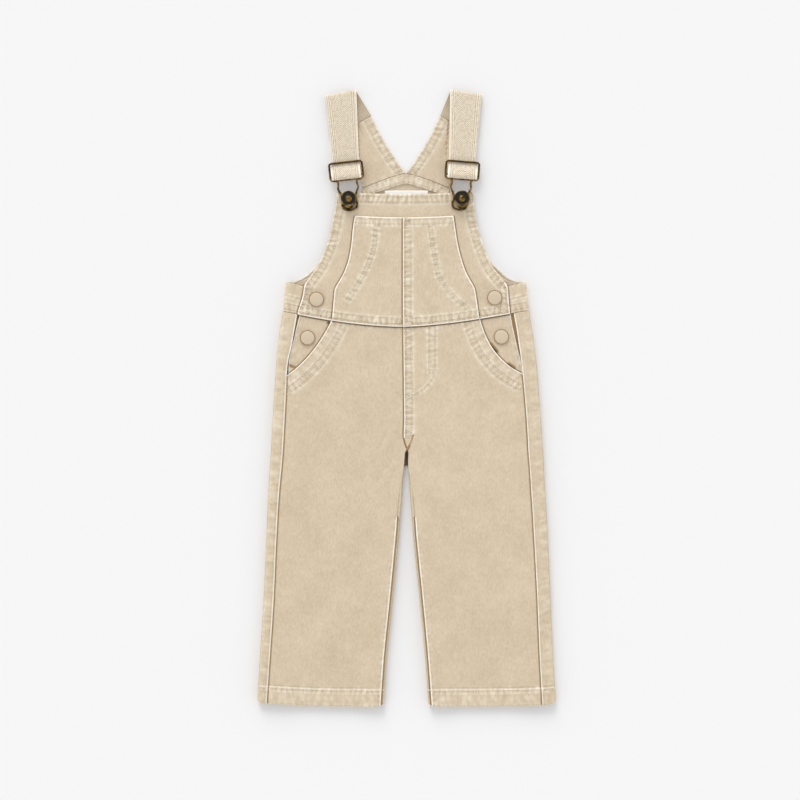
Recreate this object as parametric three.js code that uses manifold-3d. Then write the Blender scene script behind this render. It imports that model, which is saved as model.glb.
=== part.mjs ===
// Toddler overalls in sand-coloured cotton twill, laid flat with the front up.
// Millimetres. +Z is up, +Y runs from the hems to the shoulders, and the origin is on the
// surface under the middle of the garment. Left and right are as seen from above.
import * as THREE from "three";
import { mergeVertices } from "three/addons/utils/BufferGeometryUtils.js";
import Module from "manifold-3d";

const { lerp, smoothstep, degToRad } = THREE.MathUtils;
const wasm = await Module();
wasm.setup();

// Cloth
const CLOTH = 1.2; // wall of the twill and of the webbing
const GAP = 0.3; // clearance between neighbouring pieces
const FOLD_HEIGHT = 6; // height of the soft fold down each side
const LOFT_MIDDLE = 3.2; // underside of the front layer in the middle of a panel
const LOFT_EDGE = FOLD_HEIGHT - CLOTH; // underside of the front layer beside a fold
const UNDER_LAYER = GAP + CLOTH; // how far a layer tucked under the front lies below it
const SEAM_RELIEF = 0.5; // how much a felled seam or a turned hem stands proud

// Moves the middle of the finished garment over the origin
const CENTRING = [-0.09, -1, 0];

// Lines that run across the garment
const HEM_Y = -291.2;
const HEM_DEPTH = 14;
const HEM_CURL = 1.6; // the hems rise a little towards the outer folds
const CROTCH_Y = -52.9;
const BACK_CROTCH_Y = -63.4;
const WAIST_Y = 68.7; // at the centre seam, where the waist seam dips lowest
const WAIST_BAND = 8.5;
const BIB_TOP_Y = 194.6;
const BIB_TOP_SAG = 2.4;
const BIB_HEM = 9;
const CENTRE_X = -2.6;
const FELL_WIDTH = 8.6; // felled seam down the centre front

// Seen outline of the body and legs, with the side seams that lie on top inside the folds
const BODY_ROWS = table(
  ["y", "outerLeft", "seamLeft", "innerLeft", "innerRight", "seamRight", "outerRight"],
  [
    [-292, -141.8, -132.6, -21.7, 21.0, 128.7, 142.0],
    [-242, -139.0, -129.2, -18.5, 17.1, 126.0, 138.8],
    [-190, -135.6, -125.8, -13.3, 12.4, 123.9, 136.6],
    [-133, -133.0, -123.2, -8.1, 6.7, 120.9, 134.0],
    [-90, -131.1, -120.7, -4.9, 2.6, 118.3, 131.6],
    [-65, -129.7, -118.3, -3.4, 0.4, 116.7, 130.2],
    [-53, -128.8, -117.3, -2.0, -2.0, 115.7, 129.7],
    [-20, -127.1, -115.4, -2.3, -2.3, 113.8, 127.4],
    [14, -124.9, -113.5, -2.6, -2.6, 111.2, 124.9],
    [26, -124.0, -113.1, -2.7, -2.7, 110.1, 124.0],
    [49, -122.1, -110.0, -3.0, -3.0, 107.4, 121.4],
    [66, -120.2, -107.4, -3.2, -3.2, 104.5, 119.2],
    [81, -117.7, -105.0, -3.3, -3.3, 101.7, 116.6],
    [98, -115.9, -103.0, -3.4, -3.4, 100.0, 114.8],
    [112, -114.4, -101.0, -3.5, -3.5, 98.0, 113.2],
  ],
);

// Front bib, from the waist seam to its top edge
const BIB_ROWS = table(
  ["y", "left", "right"],
  [
    [66, -103.6, 98.4],
    [82, -103.0, 97.9],
    [90, -100.7, 97.2],
    [98, -98.3, 96.5],
    [106, -97.0, 95.8],
    [109, -96.2, 94.6],
    [119, -89.6, 86.4],
    [129, -82.8, 79.8],
    [144, -76.4, 73.6],
    [156, -72.7, 69.8],
    [170, -69.8, 66.0],
    [185, -67.0, 64.1],
    [200, -65.3, 62.8],
  ],
);

// Big patch pocket on the bib, whose sides curve in above a short upright stretch
const BIB_POCKET_ROWS = table(
  ["y", "left", "right"],
  [
    [66, -71.2, 70.2],
    [90, -69.3, 67.0],
    [104, -67.9, 64.8],
    [107, -66.6, 63.6],
    [116, -61.2, 58.5],
    [123, -58.0, 55.3],
    [132, -54.9, 52.3],
    [147, -52.2, 48.5],
    [165, -50.4, 45.7],
    [178, -48.0, 44.0],
  ],
);
const BIB_POCKET_TOP_Y = 172.3;
const BIB_POCKET_SAG = 1.7;
const BIB_POCKET_SEAM_X = -3.6;

// Back panel where it lies on the surface: side folds, armholes, then up to the neck arch
const BACK_ROWS = table(
  ["y", "left", "right"],
  [
    [60, -117.0, 116.0],
    [109.5, -111.4, 110.4],
    [111, -110.0, 109.0],
    [112, -105.5, 104.5],
    [115.5, -98.3, 95.7],
    [121, -90.7, 89.5],
    [130, -82.9, 80.7],
    [142, -75.5, 71.9],
    [156, -68.9, 65.1],
    [170, -61.3, 57.6],
    [185, -51.6, 48.8],
    [200, -41.0, 40.2],
  ],
);
const ARCH = { x: -0.5, y: 214.2, halfWidth: 41, drop: 14.2, power: 1.25, bandDepth: 9.2 };
const TAB = { topY: 111.2, slope: 0.25, depth: 38, dipDepth: 12 };

// Side openings: the edge of the snapped facing, and the curved hip pocket mouths
const FACING_ROWS = table(
  ["y", "left", "right"],
  [
    [10, -112.2, 110.0],
    [26, -112.2, 110.0],
    [36, -111.0, 109.0],
    [46, -108.9, 105.6],
    [58, -105.9, 102.9],
    [69, -103.3, 100.6],
    [84, -99.6, 98.4],
  ],
);
const HIP_POCKET = {
  left: { foot: [-112.8, 23.1], bend: [-87.1, 41.3], head: [-70.6, 76] },
  right: { foot: [110.6, 24], bend: [81, 42.8], head: [69.4, 78] },
};
const FACING_FOOT_Y = 12;
const FACING_TUCK = 12; // how far the facing runs on under the pocket mouth
const PLACKET = { footY: 28, depthIn: [9, 33] };

// Back yoke and straps. A strap's webbing is sewn to the yoke, turns over the shoulder
// fold, comes down the front and loops round the middle bar of its buckle.
const STRAPS = {
  left: {
    join: { outer: [-60.1, 254.3], inner: [-33.4, 269] },
    fold: { outer: [-76.2, 288.6], inner: [-47.9, 293] },
    buckle: { x: -57.2, y: 216.4, turn: 6.5 },
    button: { x: -55.2, y: 190.7 },
    yokeFoot: -41.2,
    yokeBend: 2.2,
  },
  right: {
    join: { outer: [58.6, 254.3], inner: [31.9, 269] },
    fold: { outer: [70.8, 289.4], inner: [42.4, 293.2] },
    buckle: { x: 52.9, y: 216.9, turn: -4.5 },
    button: { x: 52.2, y: 191 },
    yokeFoot: 40.6,
    yokeBend: -2.2,
  },
};
const WEBBING_TAIL = 30;
const WEBBING_HALF_WIDTH = 13.3;
const FRONT_WEBBING_Z = 3.6; // middle of the webbing where it lies on its own tail
const TAIL_Z = 2.1;
const FLOOR_Z = CLOTH / 2;

// Buckle: one closed wire, half of it listed, from the top bar round the frame to the loop's end
const WIRE_RADIUS = 1;
const BUCKLE_Z = 5.75;
const BUCKLE_HALF_WIRE = table(
  ["u", "v"],
  [
    [0, 8.3],
    [6, 8.3],
    [12.6, 8.3],
    [15, 7.4],
    [15.6, 5],
    [15.6, -5],
    [15, -7.4],
    [12.6, -8.4],
    [10.4, -8.6],
    [9, -10],
    [8.9, -12.5],
    [9.4, -16.5],
    [7.1, -22],
    [6.1, -26.5],
    [7.2, -32],
    [5.2, -36],
    [0, -37.4],
  ],
);
const MIDDLE_BAR = { v: -4.5, radius: 1 };
const LOWER_BAR = { v: -8.6, radius: 0.7 };

const SNAPS = table(
  ["name", "x", "y", "on"],
  [
    ["snap_bib_left", -85.4, 94.6, "front"],
    ["snap_bib_right", 83.6, 96.2, "front"],
    ["snap_hip_left", -93.8, 58.3, "facing"],
    ["snap_hip_right", 90, 59.2, "facing"],
  ],
);
const SNAP = { radius: 7.2, rim: 0.9, height: 2.1 };
const BUTTON = { radius: 7, neck: 3, stand: 3.5, capHeight: 2.7, tilt: -7 };

const LABEL = { left: -20.4, right: 20.4, top: 198, bottom: 185.5, wall: 1 };

// Softest, largest folds of the front layer: a ridge at (x, y) along an angle
const FOLDS = table(
  ["x", "y", "angle", "length", "width", "height"],
  [
    [-34, -98, 58, 42, 11, 0.7],
    [-74, -150, 40, 50, 15, 0.5],
    [-66, -232, 12, 40, 13, 0.45],
    [36, -100, 122, 44, 11, 0.7],
    [78, -158, 140, 52, 15, 0.55],
    [68, -236, 168, 40, 13, 0.45],
    [-52, 12, 20, 34, 12, 0.4],
    [50, 6, 158, 34, 12, 0.4],
  ],
);

// Colours
const FINISH = {
  twill: { color: 0xd8c7ab, roughness: 0.9, metalness: 0 },
  webbing: { color: 0xdfd3bd, roughness: 0.85, metalness: 0 },
  brass: { color: 0x6d5a36, roughness: 0.42, metalness: 1 },
  snap: { color: 0xd6c5ab, roughness: 0.45, metalness: 0 },
  label: { color: 0xf2f0ec, roughness: 0.7, metalness: 0 },
};

// Rows of numbers as objects with the columns' names
function table(columns, rows) {
  return rows.map((row) => Object.fromEntries(columns.map((name, i) => [name, row[i]])));
}

// A table's column as a smooth function of y
function columnAt(rows, name) {
  const slope = (a, b) => (b[name] - a[name]) / (b.y - a.y);
  const tangents = rows.map((row, i) =>
    slope(rows[Math.max(i - 1, 0)], rows[Math.min(i + 1, rows.length - 1)]),
  );
  return (y) => {
    const last = rows.length - 2;
    const i = Math.min(last, Math.max(0, rows.findIndex((row) => row.y > y) - 1));
    const k = y >= rows[last + 1].y ? last : i;
    const step = rows[k + 1].y - rows[k].y;
    const t = Math.min(1, Math.max(0, (y - rows[k].y) / step));
    const rest = 1 - t;
    return (
      rows[k][name] * (1 + 2 * t) * rest * rest +
      tangents[k] * step * t * rest * rest +
      rows[k + 1][name] * (3 - 2 * t) * t * t -
      tangents[k + 1] * step * t * t * rest
    );
  };
}

// What differs between the two sides. out is the direction from the centre to the outer fold.
function sideOf(name, out) {
  const end = name === "left" ? "Left" : "Right";
  return {
    name,
    out,
    outer: columnAt(BODY_ROWS, "outer" + end),
    seam: columnAt(BODY_ROWS, "seam" + end),
    inner: columnAt(BODY_ROWS, "inner" + end),
    bib: columnAt(BIB_ROWS, name),
    bibPocket: columnAt(BIB_POCKET_ROWS, name),
    back: columnAt(BACK_ROWS, name),
    facing: columnAt(FACING_ROWS, name),
    pocket: HIP_POCKET[name],
    strap: STRAPS[name],
  };
}
const LEFT = sideOf("left", -1);
const RIGHT = sideOf("right", 1);
const SIDES = [LEFT, RIGHT];

// Heights

// A soft ridge for each fold
function foldsAt(x, y) {
  return FOLDS.reduce((sum, fold) => {
    const angle = degToRad(fold.angle);
    const dx = x - fold.x;
    const dy = y - fold.y;
    const along = (dx * Math.cos(angle) + dy * Math.sin(angle)) / fold.length;
    const across = (dy * Math.cos(angle) - dx * Math.sin(angle)) / fold.width;
    return sum + fold.height * Math.exp(-along * along - across * across);
  }, 0);
}

// Underside of the front layer: high beside the folds and over the layered hips, low between
function frontLow(x, y) {
  const fromOuter = Math.min(x - LEFT.outer(y), RIGHT.outer(y) - x);
  const full = lerp(16, 36, smoothstep(y, 0, 25));
  const outerPuff = (1 - smoothstep(fromOuter, full, full + 34)) * (1 - smoothstep(y, 105, 135));
  const fromInner = x < CENTRE_X ? LEFT.inner(y) - x : x - RIGHT.inner(y);
  const innerPuff = (1 - smoothstep(fromInner, 6, 34)) * smoothstep(-y, 50, 95);
  const puff = Math.max(outerPuff, innerPuff);
  return lerp(LOFT_MIDDLE, LOFT_EDGE, puff) + foldsAt(x, y) * (1 - puff);
}
const frontTop = (x, y) => frontLow(x, y) + CLOTH;
const underFront = (x, y) => frontLow(x, y) - UNDER_LAYER;
const bibPocketLow = (x, y) => frontTop(x, y) + GAP;

// Lines across, each the y of a nominal row at x

function waistRise(x) {
  const power = x < CENTRE_X ? 1.8 : 1.5;
  return 15.4 * (Math.abs(x - CENTRE_X) / 117) ** power;
}
const archY = (x) =>
  ARCH.y - ARCH.drop * Math.min(1.1, Math.abs(x - ARCH.x) / ARCH.halfWidth) ** ARCH.power;
const hemRise = (x) => HEM_CURL * Math.max(0, (Math.abs(x) - 60) / 80) ** 2;

function legRow(x, y0) {
  return y0 + waistRise(x) * smoothstep(y0, 5, WAIST_Y) + hemRise(x) * smoothstep(-y0, 200, -HEM_Y);
}
function bibRow(x, y0) {
  const t = (y0 - WAIST_Y) / (BIB_TOP_Y - WAIST_Y);
  return y0 + waistRise(x) * (1 - t) ** 1.5 + BIB_TOP_SAG * t * ((x - CENTRE_X) / 66) ** 2;
}
function bibPocketRow(x, y0) {
  const t = (y0 - WAIST_Y) / (BIB_POCKET_TOP_Y - WAIST_Y);
  return y0 + waistRise(x) * (1 - t) ** 1.5 + BIB_POCKET_SAG * t * ((x - CENTRE_X) / 48) ** 2;
}
const ARCH_FOOT_Y = ARCH.y - ARCH.drop;
function backRow(x, y0) {
  const t = (y0 - WAIST_Y) / (ARCH_FOOT_Y - WAIST_Y);
  const arch = Math.max(0, archY(x) - ARCH_FOOT_Y);
  return y0 + waistRise(x) * (1 - t) ** 1.5 + arch * t * t;
}

// The point where a nominal row meets an edge that is given as x by y
function meet(row, y0, edge) {
  let [low, high] = [y0 - 1, y0 + 20];
  for (let i = 0; i < 30; i++) {
    const y = (low + high) / 2;
    if (y < row(edge(y), y0)) low = y;
    else high = y;
  }
  return edge(low);
}

// The x of a hip pocket's mouth at y, from its quadratic curve
function pocketMouth(side, y) {
  const { foot, bend, head } = side.pocket;
  const a = foot[1] - 2 * bend[1] + head[1];
  const b = bend[1] - foot[1];
  const c = foot[1] - Math.min(head[1], Math.max(foot[1], y));
  const t = (-b + Math.sqrt(Math.max(0, b * b - a * c))) / a;
  return foot[0] * (1 - t) ** 2 + 2 * bend[0] * t * (1 - t) + head[0] * t * t;
}

// Solids

// A closed wall between two grids of points of the same shape
function wall(inner, outer) {
  const rows = inner.length;
  const columns = inner[0].length;
  const positions = [...inner.flat(), ...outer.flat()].flat();
  const at = (layer, r, c) => layer * rows * columns + r * columns + c;
  const index = [];
  const quad = (a, b, c, d) => index.push(a, b, c, a, c, d);
  for (let r = 0; r + 1 < rows; r++) {
    for (let c = 0; c + 1 < columns; c++) {
      quad(at(1, r, c), at(1, r, c + 1), at(1, r + 1, c + 1), at(1, r + 1, c));
      quad(at(0, r, c), at(0, r + 1, c), at(0, r + 1, c + 1), at(0, r, c + 1));
    }
    quad(at(0, r, 0), at(1, r, 0), at(1, r + 1, 0), at(0, r + 1, 0));
    const end = columns - 1;
    quad(at(0, r, end), at(0, r + 1, end), at(1, r + 1, end), at(1, r, end));
  }
  for (let c = 0; c + 1 < columns; c++) {
    quad(at(0, 0, c), at(0, 0, c + 1), at(1, 0, c + 1), at(1, 0, c));
    const top = rows - 1;
    quad(at(0, top, c), at(1, top, c), at(1, top, c + 1), at(0, top, c + 1));
  }
  const geometry = new THREE.BufferGeometry();
  geometry.setAttribute("position", new THREE.Float32BufferAttribute(positions, 3));
  geometry.setIndex(index);
  return facingOut(geometry);
}

function signedVolume(geometry) {
  const p = geometry.getAttribute("position");
  const corners = [0, 1, 2].map(() => new THREE.Vector3());
  let volume = 0;
  for (let i = 0; i < geometry.index.count; i += 3) {
    corners.forEach((corner, k) => corner.fromBufferAttribute(p, geometry.index.getX(i + k)));
    volume += corners[0].dot(corners[1].cross(corners[2])) / 6;
  }
  return volume;
}

function facingOut(geometry) {
  if (signedVolume(geometry) < 0) {
    const flipped = Array.from(geometry.index.array);
    for (let i = 0; i < flipped.length; i += 3) {
      [flipped[i + 1], flipped[i + 2]] = [flipped[i + 2], flipped[i + 1]];
    }
    geometry.setIndex(flipped);
  }
  geometry.computeVertexNormals();
  return geometry;
}

// A panel that lies flat: rows of x, each point with its y, its underside and its thickness
function panel(rowHeights, row, columnsOf, low, thickness = () => CLOTH) {
  const grid = rowHeights.map((y0) => columnsOf(y0).map((x) => [x, row(x, y0)]));
  const inner = grid.map((points) => points.map(([x, y]) => [x, y, low(x, y)]));
  const outer = grid.map((points) =>
    points.map(([x, y]) => [x, y, low(x, y) + thickness(x, y)]),
  );
  return wall(inner, outer);
}

// count + 1 values from a to b
const spread = (a, b, count) => Array.from({ length: count + 1 }, (_, i) => lerp(a, b, i / count));

// Joins heights in order and drops repeats
const heights = (...lists) => [...new Set(lists.flat())].sort((a, b) => a - b);

// Manifold solids, for the few pieces that are joined from two or three shapes
function solid(geometry) {
  const bare = geometry.clone();
  ["normal", "uv"].forEach((name) => bare.deleteAttribute(name));
  const merged = mergeVertices(bare, 1e-4);
  return new wasm.Manifold(
    new wasm.Mesh({
      numProp: 3,
      vertProperties: new Float32Array(merged.getAttribute("position").array),
      triVerts: new Uint32Array(merged.index.array),
    }),
  );
}

function geometryOf(manifold) {
  const mesh = manifold.getMesh();
  const geometry = new THREE.BufferGeometry();
  geometry.setAttribute("position", new THREE.BufferAttribute(mesh.vertProperties, 3));
  geometry.setIndex(new THREE.BufferAttribute(mesh.triVerts, 1));
  geometry.computeVertexNormals();
  return geometry;
}

const joined = (geometries) =>
  geometryOf(geometries.map(solid).reduce((whole, piece) => whole.add(piece)));

// Legs

// Front of a leg, from the side seam and pocket mouth to the inseam and the centre seam
function frontLeg(side) {
  const { foot } = side.pocket;
  const inset = GAP / 2;
  const outerEdge = (y) =>
    (y < foot[1] ? side.seam(y) : pocketMouth(side, y)) - side.out * inset;
  const foldShare = (y) => smoothstep(-y, -CROTCH_Y, 80);
  const innerEdge = (y) =>
    side.inner(y) + side.out * (inset + (FOLD_HEIGHT / 2) * foldShare(y));
  const fell = side === RIGHT ? FELL_WIDTH : 0;
  const columnsOf = (y0) => {
    const from = meet(legRow, y0, outerEdge);
    const to = meet(legRow, y0, innerEdge);
    const band = to + side.out * Math.max(1, fell * (1 - foldShare(y0)));
    return fell ? [...spread(from, band, 8), band - side.out * 0.4, to] : spread(from, to, 9);
  };
  const hemStep = HEM_Y + HEM_DEPTH;
  const rows = heights(
    [HEM_Y, hemStep - 0.5, hemStep + 0.5],
    spread(-262, -80, 8),
    [-66, CROTCH_Y],
    spread(-32, 10, 2),
    [foot[1] - 4, foot[1]],
    spread(30, WAIST_Y - inset, 6),
  );
  const thickness = (x, y) => {
    const hem = y < hemStep + hemRise(x);
    const felled = fell && y > CROTCH_Y - 1 && Math.abs(x - side.inner(y)) < fell - 0.2;
    return CLOTH + (hem || felled ? SEAM_RELIEF : 0);
  };
  return panel(rows, legRow, columnsOf, frontLow, thickness);
}

// Back of a leg as sections: inseam, inner fold, surface, outer fold, then the strip that
// comes round to the side seam. Above the crotch it stays flat as far as the centre seam.
function backLegSection(side, y0) {
  const out = side.out;
  const outerX = meet(legRow, y0, side.outer);
  const innerX = meet(legRow, y0, side.inner) + (out * GAP) / 2;
  const stripX = meet(legRow, y0, side.seam) + (out * GAP) / 2;
  const wrapped = y0 < BACK_CROTCH_Y - 1;
  const innerRadius = frontTop(innerX, legRow(innerX, y0)) / 2;
  const outerRadius = FOLD_HEIGHT / 2;
  const points = [];
  const innerSteps = 4;
  for (let i = 0; i <= innerSteps; i++) {
    const t = i / innerSteps;
    const angle = degToRad(lerp(84, -90, t));
    points.push(
      wrapped
        ? {
            x: innerX + out * innerRadius * (1 - Math.cos(angle)),
            z: innerRadius * (1 + Math.sin(angle)),
            nx: -out * Math.cos(angle),
            nz: Math.sin(angle),
          }
        : { x: innerX + out * innerRadius * t, z: 0, nx: 0, nz: -1 },
    );
  }
  const floorFrom = innerX + out * innerRadius;
  const floorTo = outerX - out * outerRadius;
  spread(floorFrom, floorTo, 4)
    .slice(1, -1)
    .forEach((x) => points.push({ x, z: 0, nx: 0, nz: -1 }));
  for (const degrees of spread(-90, 90, 6)) {
    const angle = degToRad(degrees);
    points.push({
      x: floorTo + out * outerRadius * Math.cos(angle),
      z: outerRadius * (1 + Math.sin(angle)),
      nx: out * Math.cos(angle),
      nz: Math.sin(angle),
    });
  }
  spread(floorTo, stripX, 2)
    .slice(1)
    .forEach((x) => points.push({ x, z: frontTop(x, legRow(x, y0)), nx: 0, nz: 1 }));
  return points.map((p) => ({ ...p, y: legRow(p.x, y0) }));
}

// Inner and outer grids of a wall whose outer face runs through the sections
function wrap(sections) {
  const outer = sections.map((points) => points.map((p) => [p.x, p.y, p.z]));
  const inner = sections.map((points) =>
    points.map((p) => [p.x - CLOTH * p.nx, p.y, p.z - CLOTH * p.nz]),
  );
  return wall(inner, outer);
}

function backLeg(side) {
  const rows = heights(
    [HEM_Y],
    spread(-272, -98, 7),
    [-80, BACK_CROTCH_Y, -50],
    spread(-20, 40, 3),
    [56, WAIST_Y - GAP / 2],
  );
  return wrap(rows.map((y0) => backLegSection(side, y0)));
}

// Layer that shows inside the pocket mouth and carries the lower snap
function hipFacing(side) {
  const inset = -side.out * GAP;
  const tucked = (y) => pocketMouth(side, y) - side.out * FACING_TUCK;
  const columnsOf = (y0) =>
    spread(meet(legRow, y0, side.facing) + inset, meet(legRow, y0, tucked), 4);
  const rows = [...spread(FACING_FOOT_Y, 50, 4), 60, WAIST_Y - GAP / 2];
  return panel(rows, legRow, columnsOf, underFront);
}

// Narrow underlap of the side opening, which shows as a sliver beside the facing
function sidePlacket(side) {
  const columnsOf = (y0) => {
    const edge = meet(legRow, y0, side.outer);
    return spread(edge - side.out * PLACKET.depthIn[0], edge - side.out * PLACKET.depthIn[1], 2);
  };
  return panel(
    spread(PLACKET.footY, WAIST_Y - GAP / 2, 3),
    legRow,
    columnsOf,
    () => CLOTH + GAP,
  );
}

// Bib and its pocket

const BIB_SIDE_ROWS = spread(82, 112, 5);

function frontBib() {
  const columnsOf = (y0) =>
    spread(meet(bibRow, y0, LEFT.bib), meet(bibRow, y0, RIGHT.bib), 12);
  const hemFoot = BIB_TOP_Y - BIB_HEM;
  const rows = heights(
    [WAIST_Y + GAP / 2],
    BIB_SIDE_ROWS,
    spread(120, hemFoot - 0.5, 5),
    [hemFoot + 0.5, BIB_TOP_Y],
  );
  const hemLine = (x) => bibRow(x, hemFoot);
  return panel(rows, bibRow, columnsOf, frontLow, (x, y) =>
    CLOTH + (y > hemLine(x) ? SEAM_RELIEF / 2 : 0),
  );
}

function bibPocketHalf(side) {
  const seam = BIB_POCKET_SEAM_X + (side.out * GAP) / 2;
  const fell = side === RIGHT ? FELL_WIDTH : 0;
  const columnsOf = (y0) => {
    const edge = meet(bibPocketRow, y0, side.bibPocket);
    const band = seam + side.out * fell;
    return fell ? [seam, band, ...spread(band + 0.4, edge, 5)] : spread(seam, edge, 5);
  };
  const rows = heights(
    [WAIST_Y + GAP / 2, WAIST_Y + WAIST_BAND - 0.4, WAIST_Y + WAIST_BAND + 0.4],
    spread(88, 112, 4),
    spread(124, BIB_POCKET_TOP_Y, 4),
  );
  const thickness = (x, y) => {
    const felled = fell && x < seam + fell + 0.2;
    const waist = y < bibPocketRow(x, WAIST_Y + WAIST_BAND);
    return CLOTH + (felled || waist ? SEAM_RELIEF : 0);
  };
  return panel(rows, bibPocketRow, columnsOf, bibPocketLow, thickness);
}

// Back

// The tab at a side: from the surface round the fold and in under the bib's corner
function sideTab(side) {
  const out = side.out;
  const radius = FOLD_HEIGHT / 2;
  const overlap = 3;
  const sections = spread(0, 1, 4).map((t) => {
    const yGuess = lerp(84, TAB.topY, t);
    const edge = side.outer(yGuess);
    const centre = edge - out * radius;
    const top = (x) => {
      const depth = Math.abs(x - edge);
      const dip = smoothstep(depth, radius, TAB.dipDepth);
      return lerp(FOLD_HEIGHT, underFront(x, yGuess) + CLOTH, dip);
    };
    const floor = [{ x: centre - out * overlap, z: 0, nx: 0, nz: -1 }];
    const fold = spread(-90, 90, 6).map((degrees) => {
      const angle = degToRad(degrees);
      return {
        x: centre + out * radius * Math.cos(angle),
        z: radius * (1 + Math.sin(angle)),
        nx: out * Math.cos(angle),
        nz: Math.sin(angle),
      };
    });
    const strip = [7, TAB.dipDepth, 24, TAB.depth].map((depth) => {
      const x = edge - out * depth;
      return { x, z: top(x), nx: 0, nz: 1 };
    });
    return [...floor, ...fold, ...strip].map((p) => {
      const onTop = p.nz > 0 ? Math.abs(p.x - edge) * TAB.slope : 0;
      const foot = WAIST_Y + waistRise(p.x) + GAP / 2;
      return { ...p, y: lerp(foot, TAB.topY - onTop, t) };
    });
  });
  return wrap(sections);
}

function backPanel() {
  const columnsOf = (y0) =>
    spread(meet(backRow, y0, LEFT.back), meet(backRow, y0, RIGHT.back), 12);
  const rows = heights(
    [WAIST_Y + GAP / 2, 84],
    spread(94, 116, 6),
    spread(124, ARCH_FOOT_Y - GAP / 2, 6),
  );
  const sheet = panel(rows, backRow, columnsOf, () => 0);
  return joined([sheet, sideTab(LEFT), sideTab(RIGHT)]);
}

// Arched band that covers the seam between the back and the yoke
function neckBand() {
  const row = (x, share) => archY(x) - GAP / 2 - ARCH.bandDepth * (1 - share);
  const columnsOf = () => spread(ARCH.x - ARCH.halfWidth, ARCH.x + ARCH.halfWidth, 14);
  return panel([0, 0.5, 1], row, columnsOf, () => CLOTH + GAP);
}

// Wide foot of a strap, from the arch seam up to the webbing
function yokeStrap(side) {
  const { join, yokeFoot, yokeBend } = side.strap;
  const centre = ARCH.x + (side.out * GAP) / 2;
  const rows = 7;
  const columns = 6;
  const grid = spread(0, 1, rows).map((t) =>
    spread(0, 1, columns).map((s) => {
      const footX = lerp(yokeFoot, centre, s);
      const foot = [footX, archY(footX) + GAP];
      const head = join.outer.map((value, i) => lerp(value, join.inner[i], s));
      const bow = yokeBend * side.out * Math.sin(Math.PI * t) * s;
      return [lerp(foot[0], head[0], t) + side.out * Math.abs(bow), lerp(foot[1], head[1], t)];
    }),
  );
  const lift = (z) => grid.map((points) => points.map(([x, y]) => [x, y, z]));
  return wall(lift(0), lift(CLOTH));
}

// Straps

// A flat band through stations, each with its two edges and its height
function band(stations) {
  const edges = stations.map(({ a, b, z }) => ({
    a: new THREE.Vector3(a[0], a[1], z),
    b: new THREE.Vector3(b[0], b[1], z),
  }));
  const middles = edges.map(({ a, b }) => a.clone().add(b).multiplyScalar(0.5));
  const normals = edges.map(({ a, b }, i) => {
    const before = middles[Math.max(i - 1, 0)];
    const after = middles[Math.min(i + 1, middles.length - 1)];
    return after.clone().sub(before).cross(b.clone().sub(a)).normalize();
  });
  const face = (offset) =>
    edges.map(({ a, b }, i) =>
      [a, b].map((corner) => corner.clone().addScaledVector(normals[i], offset).toArray()),
    );
  return wall(face(-CLOTH / 2), face(CLOTH / 2));
}

function webbing(side) {
  const { join, fold, buckle } = side.strap;
  const turn = degToRad(buckle.turn);
  const mix = (p, q, t) => [lerp(p[0], q[0], t), lerp(p[1], q[1], t)];
  const along = new THREE.Vector2(
    fold.outer[1] - fold.inner[1],
    fold.inner[0] - fold.outer[0],
  ).normalize();
  const up = along.y < 0 ? along.negate() : along;
  const foldRadius = (FRONT_WEBBING_Z - FLOOR_Z) / 2;
  const overFold = foldRadius + CLOTH / 2;
  const shifted = (p, distance) => [p[0] + up.x * distance, p[1] + up.y * distance];
  const onBuckle = (u, v) => [
    buckle.x + u * Math.cos(turn) - v * Math.sin(turn),
    buckle.y + u * Math.sin(turn) + v * Math.cos(turn),
  ];
  const outerU = side.out * WEBBING_HALF_WIDTH;
  const inBuckle = (v, z) => ({ a: onBuckle(outerU, v), b: onBuckle(-outerU, v), z });
  const stations = [];
  const foldOuter = shifted(fold.outer, -overFold);
  const foldInner = shifted(fold.inner, -overFold);
  for (const t of spread(0, 1, 3)) {
    const start = shifted(join.outer, GAP);
    const startInner = shifted(join.inner, GAP);
    stations.push({ a: mix(start, foldOuter, t), b: mix(startInner, foldInner, t), z: FLOOR_Z });
  }
  for (const degrees of spread(-60, 60, 4)) {
    const angle = degToRad(degrees);
    const reach = foldRadius * Math.cos(angle);
    stations.push({
      a: shifted(foldOuter, reach),
      b: shifted(foldInner, reach),
      z: FLOOR_Z + foldRadius * (1 + Math.sin(angle)),
    });
  }
  const upper = inBuckle(14, FRONT_WEBBING_Z);
  for (const t of spread(0, 1, 5)) {
    stations.push({
      a: mix(foldOuter, upper.a, t),
      b: mix(foldInner, upper.b, t),
      z: FRONT_WEBBING_Z,
    });
  }
  stations.push(inBuckle(8.3, FRONT_WEBBING_Z), inBuckle(5.5, 4.6), inBuckle(0, 6.7));
  const wrapRadius = MIDDLE_BAR.radius + GAP + CLOTH / 2;
  for (const degrees of spread(90, -90, 6)) {
    const angle = degToRad(degrees);
    stations.push(
      inBuckle(
        MIDDLE_BAR.v - wrapRadius * Math.cos(angle),
        BUCKLE_Z + wrapRadius * Math.sin(angle),
      ),
    );
  }
  stations.push(inBuckle(0, 2.7), inBuckle(4, TAIL_Z), inBuckle(WEBBING_TAIL, TAIL_Z));
  return band(stations);
}

// A round bar between two points
function bar(from, to, radius) {
  const length = from.distanceTo(to);
  const geometry = new THREE.CylinderGeometry(radius, radius, length, 8);
  const middle = from.clone().add(to).multiplyScalar(0.5);
  return geometry.rotateZ(Math.PI / 2).translate(middle.x, middle.y, middle.z);
}

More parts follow.
